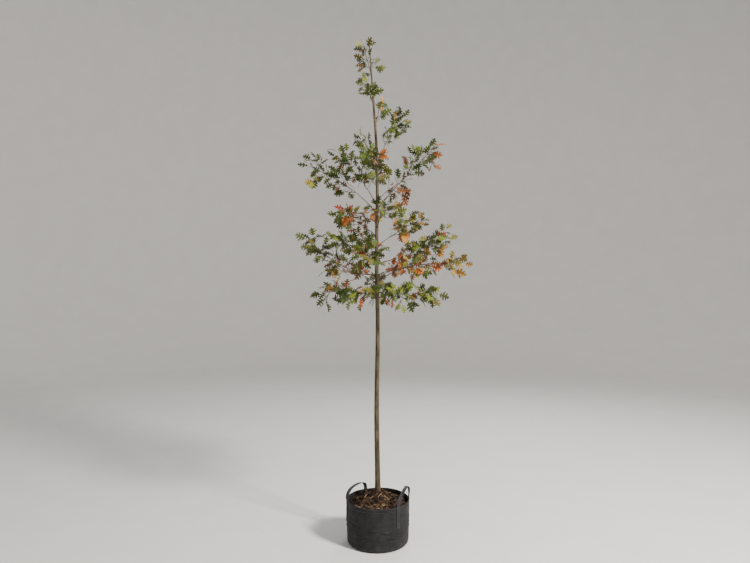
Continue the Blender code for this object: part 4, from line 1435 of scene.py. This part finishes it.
def scatter_tree():
    """Geometry Nodes: chips strewn over a surface, turned at random and lying close to it."""
    smallest, largest = CHIP_SIZES
    inputs = {
        "Ground": "Geometry", "Chips": "Collection", "Density": 3000.0, "Seed": 1, "Smallest": smallest,
        "Largest": largest, "Tilt": 0.4, "Lift": 0.006, "Material": "Material",
    }
    tree, given, result, ids = new_tree("strew_chips", "GeometryNodeTree", inputs, {"Strewn": "Geometry"})
    ground = {"Mesh": given["Ground"], "Density": given["Density"], "Seed": given["Seed"]}
    spots = add_node(
        tree, "GeometryNodeDistributePointsOnFaces", ground, distribute_method="RANDOM"
    ).outputs
    turns = {"Rotation": spots["Rotation"], "Rotate By": random_lean(tree, given["Tilt"])}
    turned = add_node(tree, "FunctionNodeRotateRotation", turns, rotation_space="LOCAL").outputs["Rotation"]
    height = random_number(tree, 0.0, given["Lift"])
    up = add_node(tree, "ShaderNodeCombineXYZ", {"Z": height}).outputs[0]
    places = {"Geometry": spots["Points"], "Offset": up}
    raised = add_node(tree, "GeometryNodeSetPosition", places).outputs["Geometry"]
    kinds = {"Collection": given["Chips"], "Separate Children": True, "Reset Children": True}
    chips = add_node(tree, "GeometryNodeCollectionInfo", kinds).outputs["Instances"]
    laid = {
        "Points": raised, "Instance": chips, "Pick Instance": True, "Rotation": turned,
        "Scale": random_number(tree, given["Smallest"], given["Largest"]),
    }
    strewn = add_node(tree, "GeometryNodeInstanceOnPoints", laid).outputs["Instances"]
    tree.links.new(made_real(tree, strewn, given["Material"]), result["Strewn"])
    return tree, ids


def heap_surface(name, reach_share):
    """The top of the compost alone, as the ground that chips are strewn on."""
    mesh = bpy.data.meshes.new(name)
    reaches = [COMPOST_SIDE * reach_share * (1 - ring / STREWN_RINGS) for ring in range(STREWN_RINGS)]
    points = [heap_point(turn, reach) for reach in reaches for turn in turns_round(STREWN_COLUMNS)]
    mesh.from_pydata(points, [], wall_faces(STREWN_RINGS, STREWN_COLUMNS))
    return mesh


def strew(chips, wood, tree, ids):
    """Strews one kind of chips over the heap, as one plain piece."""
    holder = in_scene(chips.name, heap_surface(chips.name, chips.reach))
    kinds = chip_collection(chips.name + "_kinds", chips.shapes)
    modifier = holder.modifiers.new("strew", "NODES")
    modifier.node_group = tree
    sizes = {"Density": chips.density, "Seed": chips.seed, "Tilt": chips.tilt, "Lift": chips.lift}
    for name, value in {"Chips": kinds, "Material": wood, **sizes}.items():
        modifier[ids[name]] = value
    strewn = baked(holder)
    for shape in list(kinds.objects):
        bpy.data.objects.remove(shape)
    bpy.data.collections.remove(kinds)
    return place(strewn, "compost")


def make_strands(woods):
    """Shredded strands of bark that lie down the heap, away from the stem's foot."""
    chance = random.Random("strands")
    foot = stem_point(0)
    skin = Skin()
    for _ in range(STRANDS):
        turn = chance.uniform(0, 2 * math.pi)
        away, run = chance.uniform(*STRAND_STARTS), chance.uniform(*STRAND_RUNS)
        end_turn = turn + chance.gauss(0, STRAND_SWING)
        width, lift = chance.uniform(*STRAND_WIDTHS), chance.uniform(*STRAND_LIFTS)
        path = []
        for share in (k / STRAND_STEPS for k in range(STRAND_STEPS + 1)):
            spot = foot + outward_at(turn) * away + outward_at(end_turn) * run * share
            bend = STRAND_BEND * math.sin(math.pi * share) * chance.random()
            ground = heap_point(math.atan2(spot.y, spot.x), math.hypot(spot.x, spot.y))
            path.append(Vector(ground) + Vector((0, 0, lift + bend)))
        radii = [width * share * chance.uniform(*STRAND_UNEVENNESS) for share in STRAND_TAPER]
        wood = chance.choices(range(len(woods)), STRAND_WOODS)[0]
        add_tube(skin, path, radii, STRAND_SIDES, wood)
    return place(skin.piece("bark_strands", woods, smooth_degrees=40), "compost")


# Lines of the stem, boughs and twigs, by the solids' own rule


def stem_point(height):
    """The stem's middle at a height, with a slight waver and a lean near the top."""
    waver = WAVER * math.cos(2 * math.pi * (height - WAVER_CREST) / WAVER_LENGTH)
    lean_share = max(0.0, height - LEAN_FROM) / (STEM_TOP - LEAN_FROM)
    x = waver - STEM_LEFT - LEAN * lean_share**LEAN_POWER
    y = STEM_BACK + WAVER * math.sin(2 * math.pi * height / WAVER_DEPTH_LENGTH)
    return Vector((x, y, height))


def flare_at(height):
    """The share of the root flare that is left at a height."""
    return math.exp(-(height - stem_foot_height()) / FLARE_HEIGHT)


def stem_radius(height):
    """Radius of the stem at a height, with its root flare."""
    foot = stem_foot_height()
    share = min(1.0, max(0.0, (height - foot) / (STEM_TOP - foot)))
    return between((STEM_TIP_RADIUS, STEM_RADIUS), (1 - share) ** STEM_TAPER) + FLARE * flare_at(height)


def direction(azimuth, elevation):
    """A direction from its two angles in degrees."""
    turn, rise = math.radians(azimuth), math.radians(elevation)
    level = math.cos(rise)
    return Vector((math.cos(turn) * level, math.sin(turn) * level, math.sin(rise)))


def bezier(start, first, last, end, share):
    """A point of the curve that starts towards first and comes to its end from last."""
    rest = 1 - share
    near = start * rest**3 + first * 3 * rest * rest * share
    return near + last * 3 * rest * share * share + end * share**3


def limb_controls(limb):
    """The four points that steer a limb's curve, from the stem's middle to its tip."""
    chance = random.Random(limb.name)
    start = stem_point(limb.foot)
    end = stem_point(limb.tip) + direction(limb.azimuth, 0) * limb.reach
    end.z = limb.tip
    chord = end - start
    rise = math.degrees(math.atan2(chord.z, limb.reach))
    sweep = chance.uniform(-BOUGH_WANDER, BOUGH_WANDER)
    first = direction(limb.azimuth + sweep, min(STEEPEST_START, rise + limb.kink))
    last = direction(limb.azimuth - sweep, rise - limb.kink / 2)
    third = chord.length / 3
    return start, start + first * third, end - last * third, end


def limb_path(limb):
    """Points at even steps of a limb's curve."""
    controls = limb_controls(limb)
    return [bezier(*controls, i / PATH_STEPS) for i in range(PATH_STEPS + 1)]


def cut_path(path, first, last):
    """The stretch of a path between two shares of it."""
    return path[round(first * PATH_STEPS) : round(last * PATH_STEPS) + 1]


def headings(path):
    """The direction of a path at each of its points."""
    found = []
    for i in range(len(path)):
        before, after = path[max(i - 1, 0)], path[min(i + 1, len(path) - 1)]
        found.append((after - before).normalized())
    return found


def point_on(path, share):
    """The point at a share of a path, and the heading there."""
    run = min(max(share, 0.0), 1.0) * (len(path) - 1)
    i = min(int(run), len(path) - 2)
    return path[i].lerp(path[i + 1], run - i), (path[i + 1] - path[i]).normalized()


def across_of(heading):
    """A level direction across a heading."""
    level = Vector((0, 0, 1)).cross(heading)
    return level.normalized() if level.length > NEARLY_UPRIGHT else Vector((1, 0, 0))


def resample(path, count):
    """The ends of that many even steps along a path."""
    return [point_on(path, i / count)[0] for i in range(count + 1)]


def root_radius_of(path):
    """Radius of a bough at the stem, by the length of its whole limb."""
    return BOUGH_ROOT_RADIUS + BOUGH_RADIUS_PER_METRE * path_length(path)


def mass_path(limb):
    """The path of a mass's own stem, which starts just past the end of its bough, if it has one."""
    path = cut_path(limb_path(limb), limb.bare, 1)
    if limb.bare:
        path[0] = path[0] + headings(path)[0] * GAP
    return path


def turned_from(heading, around, angle, flatten):
    """A heading turned away from another by an angle, towards a point on the clock."""
    across = across_of(heading)
    up = heading.cross(across).normalized()
    side = (across * math.cos(around) + up * math.sin(around) * flatten).normalized()
    return (heading * math.cos(angle) + side * math.sin(angle)).normalized()


class Room:
    """Distances from points to every mass's stem, every bough and the main stem."""

    def __init__(self):
        limbs = BOUGHS + SHOOTS
        self.names = np.repeat([limb.name for limb in limbs], MASS_STRETCHES)
        self.mass_lines = self.lines([resample(mass_path(limb), MASS_STRETCHES) for limb in limbs])
        paths, thick = [], []
        for limb in BOUGHS:
            path = limb_path(limb)
            radii = (root_radius_of(path), BOUGH_TIP_RADIUS)
            paths.append(resample(cut_path(path, 0, limb.bare), BOUGH_STRETCHES))
            thick += [between(radii, i / BOUGH_STRETCHES) for i in range(BOUGH_STRETCHES)]
        shares = [i / STEM_STRETCHES for i in range(STEM_STRETCHES + 1)]
        heights = [between((CROWN_FOOT, CROWN_TOP), share) for share in shares]
        paths.append([stem_point(height) for height in heights])
        self.limb_lines = self.lines(paths)
        self.thick = np.array(thick + [stem_radius(height) for height in heights[:-1]])

    @staticmethod
    def lines(paths):
        """Starts and ends of every stretch of the paths."""
        starts = [point[:] for path in paths for point in path[:-1]]
        ends = [point[:] for path in paths for point in path[1:]]
        return np.array(starts), np.array(ends)

    @staticmethod
    def distances(points, lines):
        """The distance from each point to each stretch."""
        starts, ends = lines
        run = ends - starts
        away = points[:, None, :] - starts[None]
        share = np.clip((away * run).sum(2) / (run * run).sum(1), 0, 1)
        return np.linalg.norm(away - run * share[:, :, None], axis=2)

    def holds(self, points, name, clearance):
        """Whether points are in that mass's own room and clear of every limb."""
        points = np.array([point[:] for point in points])
        mine = self.names == name
        found = self.distances(points, self.mass_lines)
        if (found[:, ~mine].min(1) < found[:, mine].min(1) + SPACE_MARGIN).any():
            return False
        return (self.distances(points, self.limb_lines) - self.thick).min() >= clearance


# Growth of a mass

Leaf = namedtuple("Leaf", "root heading across normal size spray")

# Without a seed, noise_vector starts from the clock, and the limbs would stray anew in each run
noise.seed_set(CROOK_SEED)


def limb_stray(limb, share):
    """How far a limb, as it really grows, strays from its even curve."""
    along = share * math.hypot(limb.reach, limb.tip - limb.foot) / CROOK_LENGTH
    wave = noise.noise_vector(Vector((along, limb.foot * CROOK_START, CROOK_LAYER)))
    return wave * CROOK * math.sqrt(max(0.0, math.sin(math.pi * share)))


class Shoot:
    """A shoot: an even path, its points evenly spaced, and how far it strays at each."""

    def __init__(self, path, strays):
        self.path, self.strays = path, strays
        self.run = path_length(path)

    def at(self, share):
        """The even path's point and heading at a share of it, and the stray there."""
        point, heading = point_on(self.path, share)
        return point, heading, point_on(self.strays, share)[0]

    def line(self):
        """The shoot's points as it really grows."""
        return [point + stray for point, stray in zip(self.path, self.strays)]


def side_shoot(start, end, stray, chance):
    """A shoot that leaves its host where that really grows, and bows a little."""
    run = end - start
    across = across_of(run.normalized())
    up = run.normalized().cross(across)
    bow = (across * chance.uniform(*SIDE_BOWS) + up * chance.uniform(*RISE_BOWS)) * run.length * TWIG_BOW
    shares = [k / SHOOT_STEPS for k in range(SHOOT_STEPS + 1)]
    strays = [stray * (1 - share) + bow * math.sin(math.pi * share) for share in shares]
    return Shoot([start.lerp(end, share) for share in shares], strays)


def leaf_frame(heading, chance):
    """Across and normal directions of a blade that faces up more often than down."""
    face = Vector((0, 0, LEAF_FACES_UP)) + Vector([chance.uniform(-1, 1) for _ in range(3)])
    across = face.cross(heading)
    if across.length < NEARLY_UPRIGHT:
        across = across_of(heading)
    across.normalize()
    return across, heading.cross(across).normalized()


def leaf_samples(base, heading, across, normal, size):
    """Points over the room that a blade takes, as the solids' blades take it."""
    length, width = LEAF_LENGTH * size, LEAF_WIDTH * size
    belly = base + heading * length * LEAF_BELLY
    tip = base + heading * length
    middle = belly - normal * LEAF_CUP * size
    edges = [belly + across * width / 2, belly - across * width / 2, middle]
    halfway = [start.lerp(edge, 0.5) for start in (base, tip) for edge in edges]
    return edges + [tip] + halfway + [middle.lerp(edge, 0.5) for edge in edges[:2]]


class Mass:
    """One mass's own stem, twigs, sprigs and leaves."""

    def __init__(self, limb, room):
        self.limb, self.room = limb, room
        path = mass_path(limb)
        shares = [between((limb.bare, 1), i / (len(path) - 1)) for i in range(len(path))]
        self.stem = Shoot(path, [limb_stray(limb, share) for share in shares])
        self.twigs, self.sprigs, self.leaves = [], [], []
        self.taken = np.zeros((0, 3))
        self.spray = 0
        self.bows = random.Random("bows " + limb.name)
        self.chance = random.Random("mass " + limb.name)
        self.clearance = (LEAF_CLEARANCE, LIMB_CLEARANCE)
        self.grow_twigs()
        self.chance = random.Random("sprigs " + limb.name)
        self.clearance = (FINE_LEAF_CLEARANCE, FINE_LIMB_CLEARANCE)
        self.grow_sprigs()

    def try_leaf(self, spot, around, angle, size):
        """Adds a leaf where there is room for one, in a few tries on different sides."""
        point, heading, stray = spot
        leaf_room, limb_room = self.clearance
        for attempt in range(LEAF_TRIES):
            turned = turned_from(heading, around + attempt, angle, TWIG_FLATTEN)
            turned = (turned - Vector((0, 0, LEAF_DROOP))).normalized()
            across, normal = leaf_frame(turned, self.chance)
            root = point - turned * LEAF_SINK
            samples = leaf_samples(root, turned, across, normal, size)
            spots = np.array([sample[:] for sample in samples])
            apart = np.linalg.norm(spots[:, None, :] - self.taken[None], axis=2).min(initial=leaf_room)
            if apart < leaf_room:
                continue
            if self.room.holds(samples, self.limb.name, limb_room):
                self.taken = np.concatenate([self.taken, spots])
                self.leaves.append(Leaf(root + stray, turned, across, normal, size, self.spray))
                return

    def leaves_along(self, shoot, run):
        """Leaves on one side and the other along a shoot, as many as that run carries."""
        chance = self.chance
        count = max(1, round(run * LEAVES_PER_METRE))
        for k in range(count):
            share = between(LEAF_STRETCH, (k + chance.random() * LEAF_STRAY) / count)
            around = k * math.pi + chance.uniform(-LEAF_CLOCK_SPREAD, LEAF_CLOCK_SPREAD)
            angle = math.radians(LEAF_ANGLE + chance.uniform(-ANGLE_SPREAD, ANGLE_SPREAD))
            self.try_leaf(shoot.at(share), around, angle, chance.uniform(*SIDE_LEAF_SIZES))

    def leaves_at_tip(self, shoot, count, sizes=TIP_LEAF_SIZES):
        """A fan of leaves round a shoot's tip."""
        chance = self.chance
        for k in range(count):
            stray = chance.uniform(-TIP_CLOCK_SPREAD, TIP_CLOCK_SPREAD)
            around = k * 2 * math.pi / count + stray
            tilt = chance.uniform(-TIP_ANGLE_SPREAD, TIP_ANGLE_SPREAD)
            angle = math.radians(TIP_LEAF_ANGLES[min(k, 1)] + tilt)
            spot = shoot.at(TIP_LEAF_PLACE - k * TIP_LEAF_STEP)
            self.try_leaf(spot, around, angle, chance.uniform(*sizes))

    def grow_twigs(self):
        """The mass's side twigs and their leaves, and the leaves on its own stem."""
        chance, limb = self.chance, self.limb
        count = max(2, round(self.stem.run / TWIG_SPACING))
        clock = chance.uniform(0, 2 * math.pi)
        for i in range(count):
            share = between(TWIG_STRETCH, (i + TWIG_START) / count)
            point, heading, stray = self.stem.at(share)
            clock += GOLDEN_ANGLE
            angle = math.radians(TWIG_ANGLE + chance.uniform(-ANGLE_SPREAD, ANGLE_SPREAD))
            away = turned_from(heading, clock, angle, TWIG_FLATTEN)
            run = limb.spread * between(TWIG_LENGTHS, share) * chance.uniform(*TWIG_LENGTH_SPREAD)
            lift = Vector((0, 0, chance.uniform(*TWIG_LIFT)))
            end = point + (away + lift).normalized() * run
            if not self.room.holds([end], limb.name, TWIG_CLEARANCE):
                continue
            twig = side_shoot(point, end, stray, self.bows)
            self.spray += 1
            self.twigs.append(twig)
            self.leaves_along(twig, run)
            self.leaves_at_tip(twig, TIP_LEAVES - 1)
        self.spray += 1
        self.leaves_along(self.stem, self.stem.run * STEM_LEAF_SHARE)
        self.spray += 1
        self.tip_spray = self.spray
        self.leaves_at_tip(self.stem, TIP_LEAVES)

    def grow_sprigs(self):
        """Short side shoots on the mass's stem and on its twigs, each with a few leaves."""
        chance = self.chance
        for host in [self.stem] + self.twigs:
            count = max(1, round(host.run / SPRIG_SPACING))
            clock = chance.uniform(0, 2 * math.pi)
            for i in range(count):
                clock += GOLDEN_ANGLE
                point, heading, stray = host.at(between(SPRIG_STRETCH, (i + chance.random()) / count))
                angle = math.radians(SPRIG_ANGLE + chance.uniform(-ANGLE_SPREAD, ANGLE_SPREAD))
                away = turned_from(heading, clock, angle, TWIG_FLATTEN)
                lift = Vector((0, 0, chance.uniform(*TWIG_LIFT)))
                end = point + (away + lift).normalized() * chance.uniform(*SPRIG_LENGTHS)
                if not self.room.holds([end], self.limb.name, FINE_LIMB_CLEARANCE):
                    continue
                sprig = side_shoot(point, end, stray, self.bows)
                before = len(self.leaves)
                self.spray += 1
                self.leaves_at_tip(sprig, chance.randint(*SPRIG_LEAVES), FINE_LEAF_SIZES)
                if len(self.leaves) > before:
                    self.sprigs.append(sprig)


# Stem, boughs and twigs


def add_tube(skin, path, radii, sides, finish=0):
    """A limb round a path, with no sudden turn from ring to ring and a flat cap at both ends."""
    points = []
    across = across_of(headings(path)[0])
    for centre, heading, radius in zip(path, headings(path), radii):
        across = (across - heading * across.dot(heading)).normalized()
        up = heading.cross(across)
        for turn in turns_round(sides):
            points.append((centre + (across * math.cos(turn) + up * math.sin(turn)) * radius)[:])
    skin.add(points, closed_faces(len(path), sides), finish)


def bark_at(turn, height, radius):
    """How far the bark stands out, and how dark the painted shade in its crack is, at a place on the stem.
    """
    age = min(1.0, max(YOUNGEST_BARK, 1 - (height - OLD_BARK_HEIGHT) / BARK_AGE_REACH))
    spot = (math.cos(turn) * radius, math.sin(turn) * radius, height)
    wander = grain_at(BARK_WANDER, *spot)
    off_line = abs(grain_at(BARK_RIDGES, *spot, sway=wander))
    cracked = min(1.0, max(0.0, CRACK_SHARE + CRACK_CONTRAST * wander)) * age
    crack = max(0.0, 1 - off_line / CRACK_WIDTH) * cracked
    lift = SWELL_RISE * grain_at(BARK_SWELLS, *spot) + GRIT_RISE * grain_at(BARK_GRIT, *spot)
    lift += PLATE_RISE * age * grain_at(BARK_PLATES, *spot) - CRACK_DEPTH * crack
    return lift * min(1.0, radius / FULL_RELIEF_RADIUS), min(1.0, CRACK_SHADE_DARKNESS * crack)


def stem_knots():
    """Healed scars of trimmed side shoots on the clear stem, and collars under the boughs."""
    chance = random.Random("knots")
    knots = []
    height, last = SCAR_HEIGHTS
    while height < last:
        turn, size = chance.uniform(0, 2 * math.pi), chance.uniform(*SCAR_SIZES)
        knots.append(Knot(height, turn, size, SCAR_RISE, SCAR_DIP))
        height += chance.uniform(*SCAR_SPACING)
    for limbs, size in ((BOUGHS, BOUGH_COLLAR), (SHOOTS, SHOOT_COLLAR)):
        knots += [Knot(limb.foot, math.radians(limb.azimuth), size, COLLAR_RISE, 0.0) for limb in limbs]
    return knots


def knot_rise(knot, turn, height, radius):
    """How far a knot raises the bark, or sinks it in the middle of a scar."""
    swing = math.atan2(math.sin(turn - knot.turn), math.cos(turn - knot.turn)) * radius
    away = math.hypot(swing, (height - knot.height) * KNOT_STRETCH) / knot.size
    rise = knot.rise * math.exp(-(away**2))
    if knot.dip:
        rise -= (knot.rise + knot.dip) * math.exp(-((away / SCAR_DIP_SHARE) ** 2))
    return rise


def make_stem(bark):
    """The stem with its bark in relief, and how dark the painted shade in each crack is, as an attribute of
    its mesh.
    """
    foot, knots = stem_foot_height(), stem_knots()
    points, cracks = [], []
    for i in range(STEM_RINGS + 1):
        height = between((foot, STEM_TOP), (i / STEM_RINGS) ** STEM_RING_CROWDING)
        centre, radius, flare = stem_point(height), stem_radius(height), flare_at(height)
        near = [knot for knot in knots if abs(knot.height - height) < KNOT_REACH]
        for turn in turns_round(STEM_SIDES):
            lobe = 1 - FLARE_LOBE_DEPTH * flare * (1 - math.cos(FLARE_LOBES * turn)) / 2
            lift, crack = bark_at(turn, height, radius)
            lift += sum(knot_rise(knot, turn, height, radius) for knot in near)
            points.append((centre + outward_at(turn) * (radius * lobe + lift))[:])
            cracks.append(crack)
    skin = Skin()
    skin.add(points, closed_faces(STEM_RINGS + 1, STEM_SIDES))
    stem = skin.piece("stem_bark", [bark], smooth_degrees=65)
    stem.data.attributes.new("crack", "FLOAT", "POINT").data.foreach_set("value", cracks)
    return place(stem, "bark", "stem")


def bough_radius(limb, root, share):
    """Radius of a bough, and of the mass's stem that it carries on as."""
    if share < limb.bare:
        return between((root, BOUGH_TIP_RADIUS), share / limb.bare)
    return between((BOUGH_TIP_RADIUS, MASS_STEM_TIP_RADIUS), (share - limb.bare) / (1 - limb.bare))


def make_boughs(bark):
    """Every bough, and the mass's stem that it carries on as, with swollen joints."""
    skin = Skin()
    for limb in BOUGHS + SHOOTS:
        chance = random.Random("bough bark " + limb.name)
        controls, even_path = limb_controls(limb), limb_path(limb)
        length, root, buried = path_length(even_path), root_radius_of(even_path), stem_radius(limb.foot)
        count = max(FEWEST_BOUGH_RINGS, round(length / BOUGH_RING_SPACING))
        path, radii = [], []
        for i in range(count + 1):
            share = between((BOUGH_SUNK * buried / length, 1), i / count)
            collar = 1 + COLLAR * math.exp(-max(0.0, share * length - buried) / COLLAR_LENGTH)
            joint = max(0.0, math.sin(2 * math.pi * share * length / JOINT_SPACING)) ** JOINT_POWER
            swelling = collar * (1 + JOINT * joint) * chance.uniform(*BARK_UNEVENNESS)
            radii.append(bough_radius(limb, root, share) * swelling)
            path.append(bezier(*controls, share) + limb_stray(limb, share))
        add_tube(skin, path, radii, BOUGH_SIDES)
    nodes = ["bough_" + limb.name for limb in BOUGHS]
    return place(skin.piece("bough_bark", [bark], smooth_degrees=60), "bark", *nodes)


def add_bud(skin, point, heading, size):
    """A plump pointed bud, in the second finish of its piece."""
    path = [point + heading * size * share for share, _ in BUD_RINGS]
    add_tube(skin, path, [size * radius for _, radius in BUD_RINGS], BUD_SIDES, 1)


def make_twigs(masses, bark, bud):
    """Every twig and sprig, the buds of every shoot, and the bud at the leader's tip."""
    skin = Skin()
    for mass in masses:
        for twig in mass.twigs:
            add_tube(skin, twig.line(), TWIG_RADII, TWIG_SIDES)
        for sprig in mass.sprigs:
            add_tube(skin, sprig.line(), SPRIG_RADII, SPRIG_SIDES)
        for shoot in [mass.stem] + mass.twigs + mass.sprigs:
            line = shoot.line()
            point, heading = line[-1], (line[-1] - line[-2]).normalized()
            add_bud(skin, point - heading * TIP_BUD_SUNK, heading, TIP_BUD)
            for k in range(SIDE_BUDS):
                around = SIDE_BUD_TURN + 2 * math.pi * k / SIDE_BUDS
                aside = turned_from(heading, around, SIDE_BUD_ANGLE, flatten=1.0)
                add_bud(skin, point - heading * SIDE_BUD_SUNK, aside, SIDE_BUD)
    up = Vector((0, 0, 1))
    add_bud(skin, stem_point(STEM_TOP) - up * LEADER_BUD_SUNK, up, LEADER_BUD)
    nodes = ["leaves_" + mass.limb.name for mass in masses]
    return place(skin.piece("twigs_and_buds", [bark, bud], smooth_degrees=60), "bark", *nodes)


# Leaves


def leaf_pattern():
    """Flat shape of a blade: its points, their layers, and its faces above (1) and below (-1).

    The outline's points are shared by both layers, and each layer has its own midrib.
    """
    spots, layers, faces = [(0.0, 0.0), (1.0, 0.0)], [0, 0], {1: [], -1: []}
    base, apex = 0, 1

    def spot(where, layer=0):
        spots.append(where)
        layers.append(layer)
        return len(spots) - 1

    ribs = {layer: [spot((x, 0.0), layer) for x in MIDRIB] for layer in faces}
    for side in (1, -1):
        foot = spot((LEAF_FOOT[0], LEAF_FOOT[1] * side))
        lobes = [[spot((x, y * side)) for x, y in lobe] for lobe in LEAF_LOBES + [LEAF_END]]
        for layer, rib in ribs.items():
            found = [(base, foot, rib[0]), (foot, lobes[0][0], rib[0])]
            for i, lobe in enumerate(lobes):
                found += [(a, b, rib[i]) for a, b in zip(lobe, lobe[1:])]
                if i + 1 < len(lobes):
                    found.append((lobe[-1], rib[i + 1], rib[i]))
                    found.append((lobe[-1], lobes[i + 1][0], rib[i + 1]))
            found.append((lobes[-1][-1], apex, rib[-1]))
            faces[layer] += [tuple(reversed(face)) if side * layer > 0 else face for face in found]
    return np.array(spots), np.array(layers), faces


LEAF_SPOTS, LEAF_LAYERS, LEAF_FACES = leaf_pattern()


def add_leaf(skin, leaf, finish, underside, chance):
    """A stalk and a folded, drooping, lobed blade with a paler underside."""
    whole = LEAF_LENGTH * leaf.size
    stalk = whole * PETIOLE_SHARE * chance.uniform(*PETIOLE_SPREAD)
    length = whole - stalk
    width = length * chance.uniform(*BLADE_WIDTHS)
    fold, droop = chance.uniform(*BLADE_FOLDS), chance.uniform(*BLADE_DROOPS)
    curl, roll = chance.uniform(*BLADE_CURLS), chance.uniform(*BLADE_ROLLS)
    twist = chance.uniform(*BLADE_TWISTS)
    along, aside = LEAF_SPOTS[:, 0], LEAF_SPOTS[:, 1]
    turn = roll + twist * along
    rise = fold * np.abs(aside) - curl * aside**2 - droop * along**2 + aside * np.sin(turn)
    neck = leaf.root + leaf.heading * stalk
    heading, across, normal = (np.array(v[:]) for v in (leaf.heading, leaf.across, leaf.normal))
    points = np.array(neck[:]) + np.outer(along * length * (1 - DROOP_SHORTENS * droop * along), heading)
    points += np.outer(aside * np.cos(turn) * width, across)
    points += np.outer(rise * length + LEAF_LAYERS * BLADE_HALF_THICKNESS, normal)
    finishes = [finish] * len(LEAF_FACES[1]) + [underside] * len(LEAF_FACES[-1])
    skin.add(points, LEAF_FACES[1] + LEAF_FACES[-1], finishes, uvs=LEAF_SPOTS)
    middle = leaf.root.lerp(neck, 0.5) + leaf.normal * stalk * PETIOLE_ARCH
    line = [leaf.root, middle, neck + leaf.heading * length * PETIOLE_UNDER_BLADE]
    add_tube(skin, line, PETIOLE_RADII, PETIOLE_SIDES, underside)


def draw_tint(mass, leaf, chance):
    """Family and tint of a spray. Sprays near the stem turn first."""
    if leaf.spray == mass.tip_spray and mass.limb.name in TIP_TINTS:
        return TIP_TINTS[mass.limb.name]
    autumn = MASS_AUTUMN.get(mass.limb.name, AUTUMN[mass.limb.tint])
    away = leaf.root - stem_point(leaf.root.z)
    out = min(1.0, math.hypot(away.x, away.y) / mass.limb.reach)
    family = "green"
    if chance.random() < autumn.turned * between(TURNING, out):
        family = "bronze" if chance.random() < autumn.bronze else "amber"
    return family, chance.randrange(len(LEAF_TINTS[family]))


def make_leaves(masses):
    """The leaves in three joined pieces, one for each family of tints."""
    skins = {family: Skin() for family in LEAF_TINTS}
    for mass in masses:
        chance = random.Random("tints " + mass.limb.name)
        sprays = {}
        for leaf in mass.leaves:
            if leaf.spray not in sprays:
                sprays[leaf.spray] = draw_tint(mass, leaf, chance)
            family, tint = sprays[leaf.spray]
            count = len(LEAF_TINTS[family])
            if chance.random() < STRAY_TINTS:
                tint = chance.randrange(count)
            add_leaf(skins[family], leaf, tint, count, chance)
    for family, skin in skins.items():
        finishes = [leaf_finish(name, colour) for name, colour in LEAF_TINTS[family].items()]
        finishes.append(leaf_finish(family + "_underside", UNDERSIDES[family]))
        nodes = ["leaves_" + mass.limb.name for mass in masses if mass.limb.tint == family]
        place(skin.piece("foliage_" + family, finishes, smooth_degrees=50), "leaf_" + family, *nodes)


# Studio


def make_camera():
    """A level camera in front of the object."""
    data = bpy.data.cameras.new("camera")
    data.lens, data.sensor_width = CAMERA_LENS, CAMERA_SENSOR
    camera = in_scene("camera", data)
    camera.location = CAMERA_SPOT
    camera.rotation_euler = (math.radians(90), 0, 0)
    bpy.context.scene.camera = camera


def make_floor():
    """A round pale floor that curves up all round, far outside every camera."""
    rows = [(STUDIO_POLE, 0.0), (STUDIO_RADIUS - STUDIO_TURN, 0.0)]
    for i in range(1, STUDIO_TURN_STEPS + 1):
        angle = math.radians(90) * i / STUDIO_TURN_STEPS
        reach = STUDIO_RADIUS - STUDIO_TURN * (1 - math.sin(angle))
        rows.append((reach, STUDIO_TURN * (1 - math.cos(angle))))
    rows.append((STUDIO_RADIUS, STUDIO_HEIGHT))
    turns = turns_round(STUDIO_SIDES)
    points = [outward_at(turn) * reach + Vector((0, 0, height)) for reach, height in rows for turn in turns]
    faces = [tuple(reversed(face)) for face in wall_faces(len(rows), STUDIO_SIDES)]
    skin = Skin()
    skin.add(points, faces + [tuple(range(STUDIO_SIDES))])
    skin.piece("studio_floor", [floor_finish()], smooth_degrees=60)


def make_light():
    """Three soft lamps and an even pale sky."""
    for lamp in LAMPS:
        data = bpy.data.lights.new(lamp.name, "AREA")
        data.size, data.energy, data.color = lamp.size, lamp.power, lamp.colour
        light = in_scene(lamp.name, data)
        light.location = lamp.spot
        light.rotation_euler = (LAMP_AIM - Vector(lamp.spot)).to_track_quat("-Z", "Y").to_euler()
    world = bpy.data.worlds.new("studio")
    world.use_nodes = True
    background = world.node_tree.nodes["Background"]
    background.inputs["Color"].default_value = (*SKY_COLOUR, 1.0)
    background.inputs["Strength"].default_value = SKY_STRENGTH
    bpy.context.scene.world = world


def make_grow_bag():
    webbing = strap_finish()
    tree, sizes = stitch_tree(thread_finish())
    make_bag(bag_finish())
    make_stitches("hem_stitches", "bag_fabric", hem_lines(), tree, sizes, HEM_STITCH)
    for strap in STRAPS:
        make_strap(strap, webbing)
    lines = [line for strap in STRAPS for line in strap_lines(strap)]
    make_stitches("strap_stitches", "strap_fabric", lines, tree, sizes, STRAP_STITCH)


def make_filling():
    # The compost's near-black colour is partly painted shade in the gaps between the chips
    make_compost(wood_finish("damp_compost", COMPOST_AND_GAP_SHADE_TONES, COMPOST_ROUGHNESS))
    woods = {}
    for name, tones in WOOD_TONES.items():
        woods[name] = wood_finish(name + "_bark_chips", tones, CHIP_ROUGHNESS)
    tree, ids = scatter_tree()
    for chips in STREWN:
        strew(chips, woods[chips.wood], tree, ids)
    make_strands(list(woods.values()))


def make_tree():
    shoot_bark = bark_finish(SHOOT_BARK)
    make_stem(bark_finish(STEM_BARK))
    make_boughs(shoot_bark)
    room = Room()
    masses = [Mass(limb, room) for limb in BOUGHS + SHOOTS]
    make_twigs(masses, shoot_bark, wood_finish("bud_scales", BUD_TONES, BUD_ROUGHNESS))
    make_leaves(masses)


make_camera()
make_floor()
make_light()
make_grow_bag()
make_filling()
make_tree()
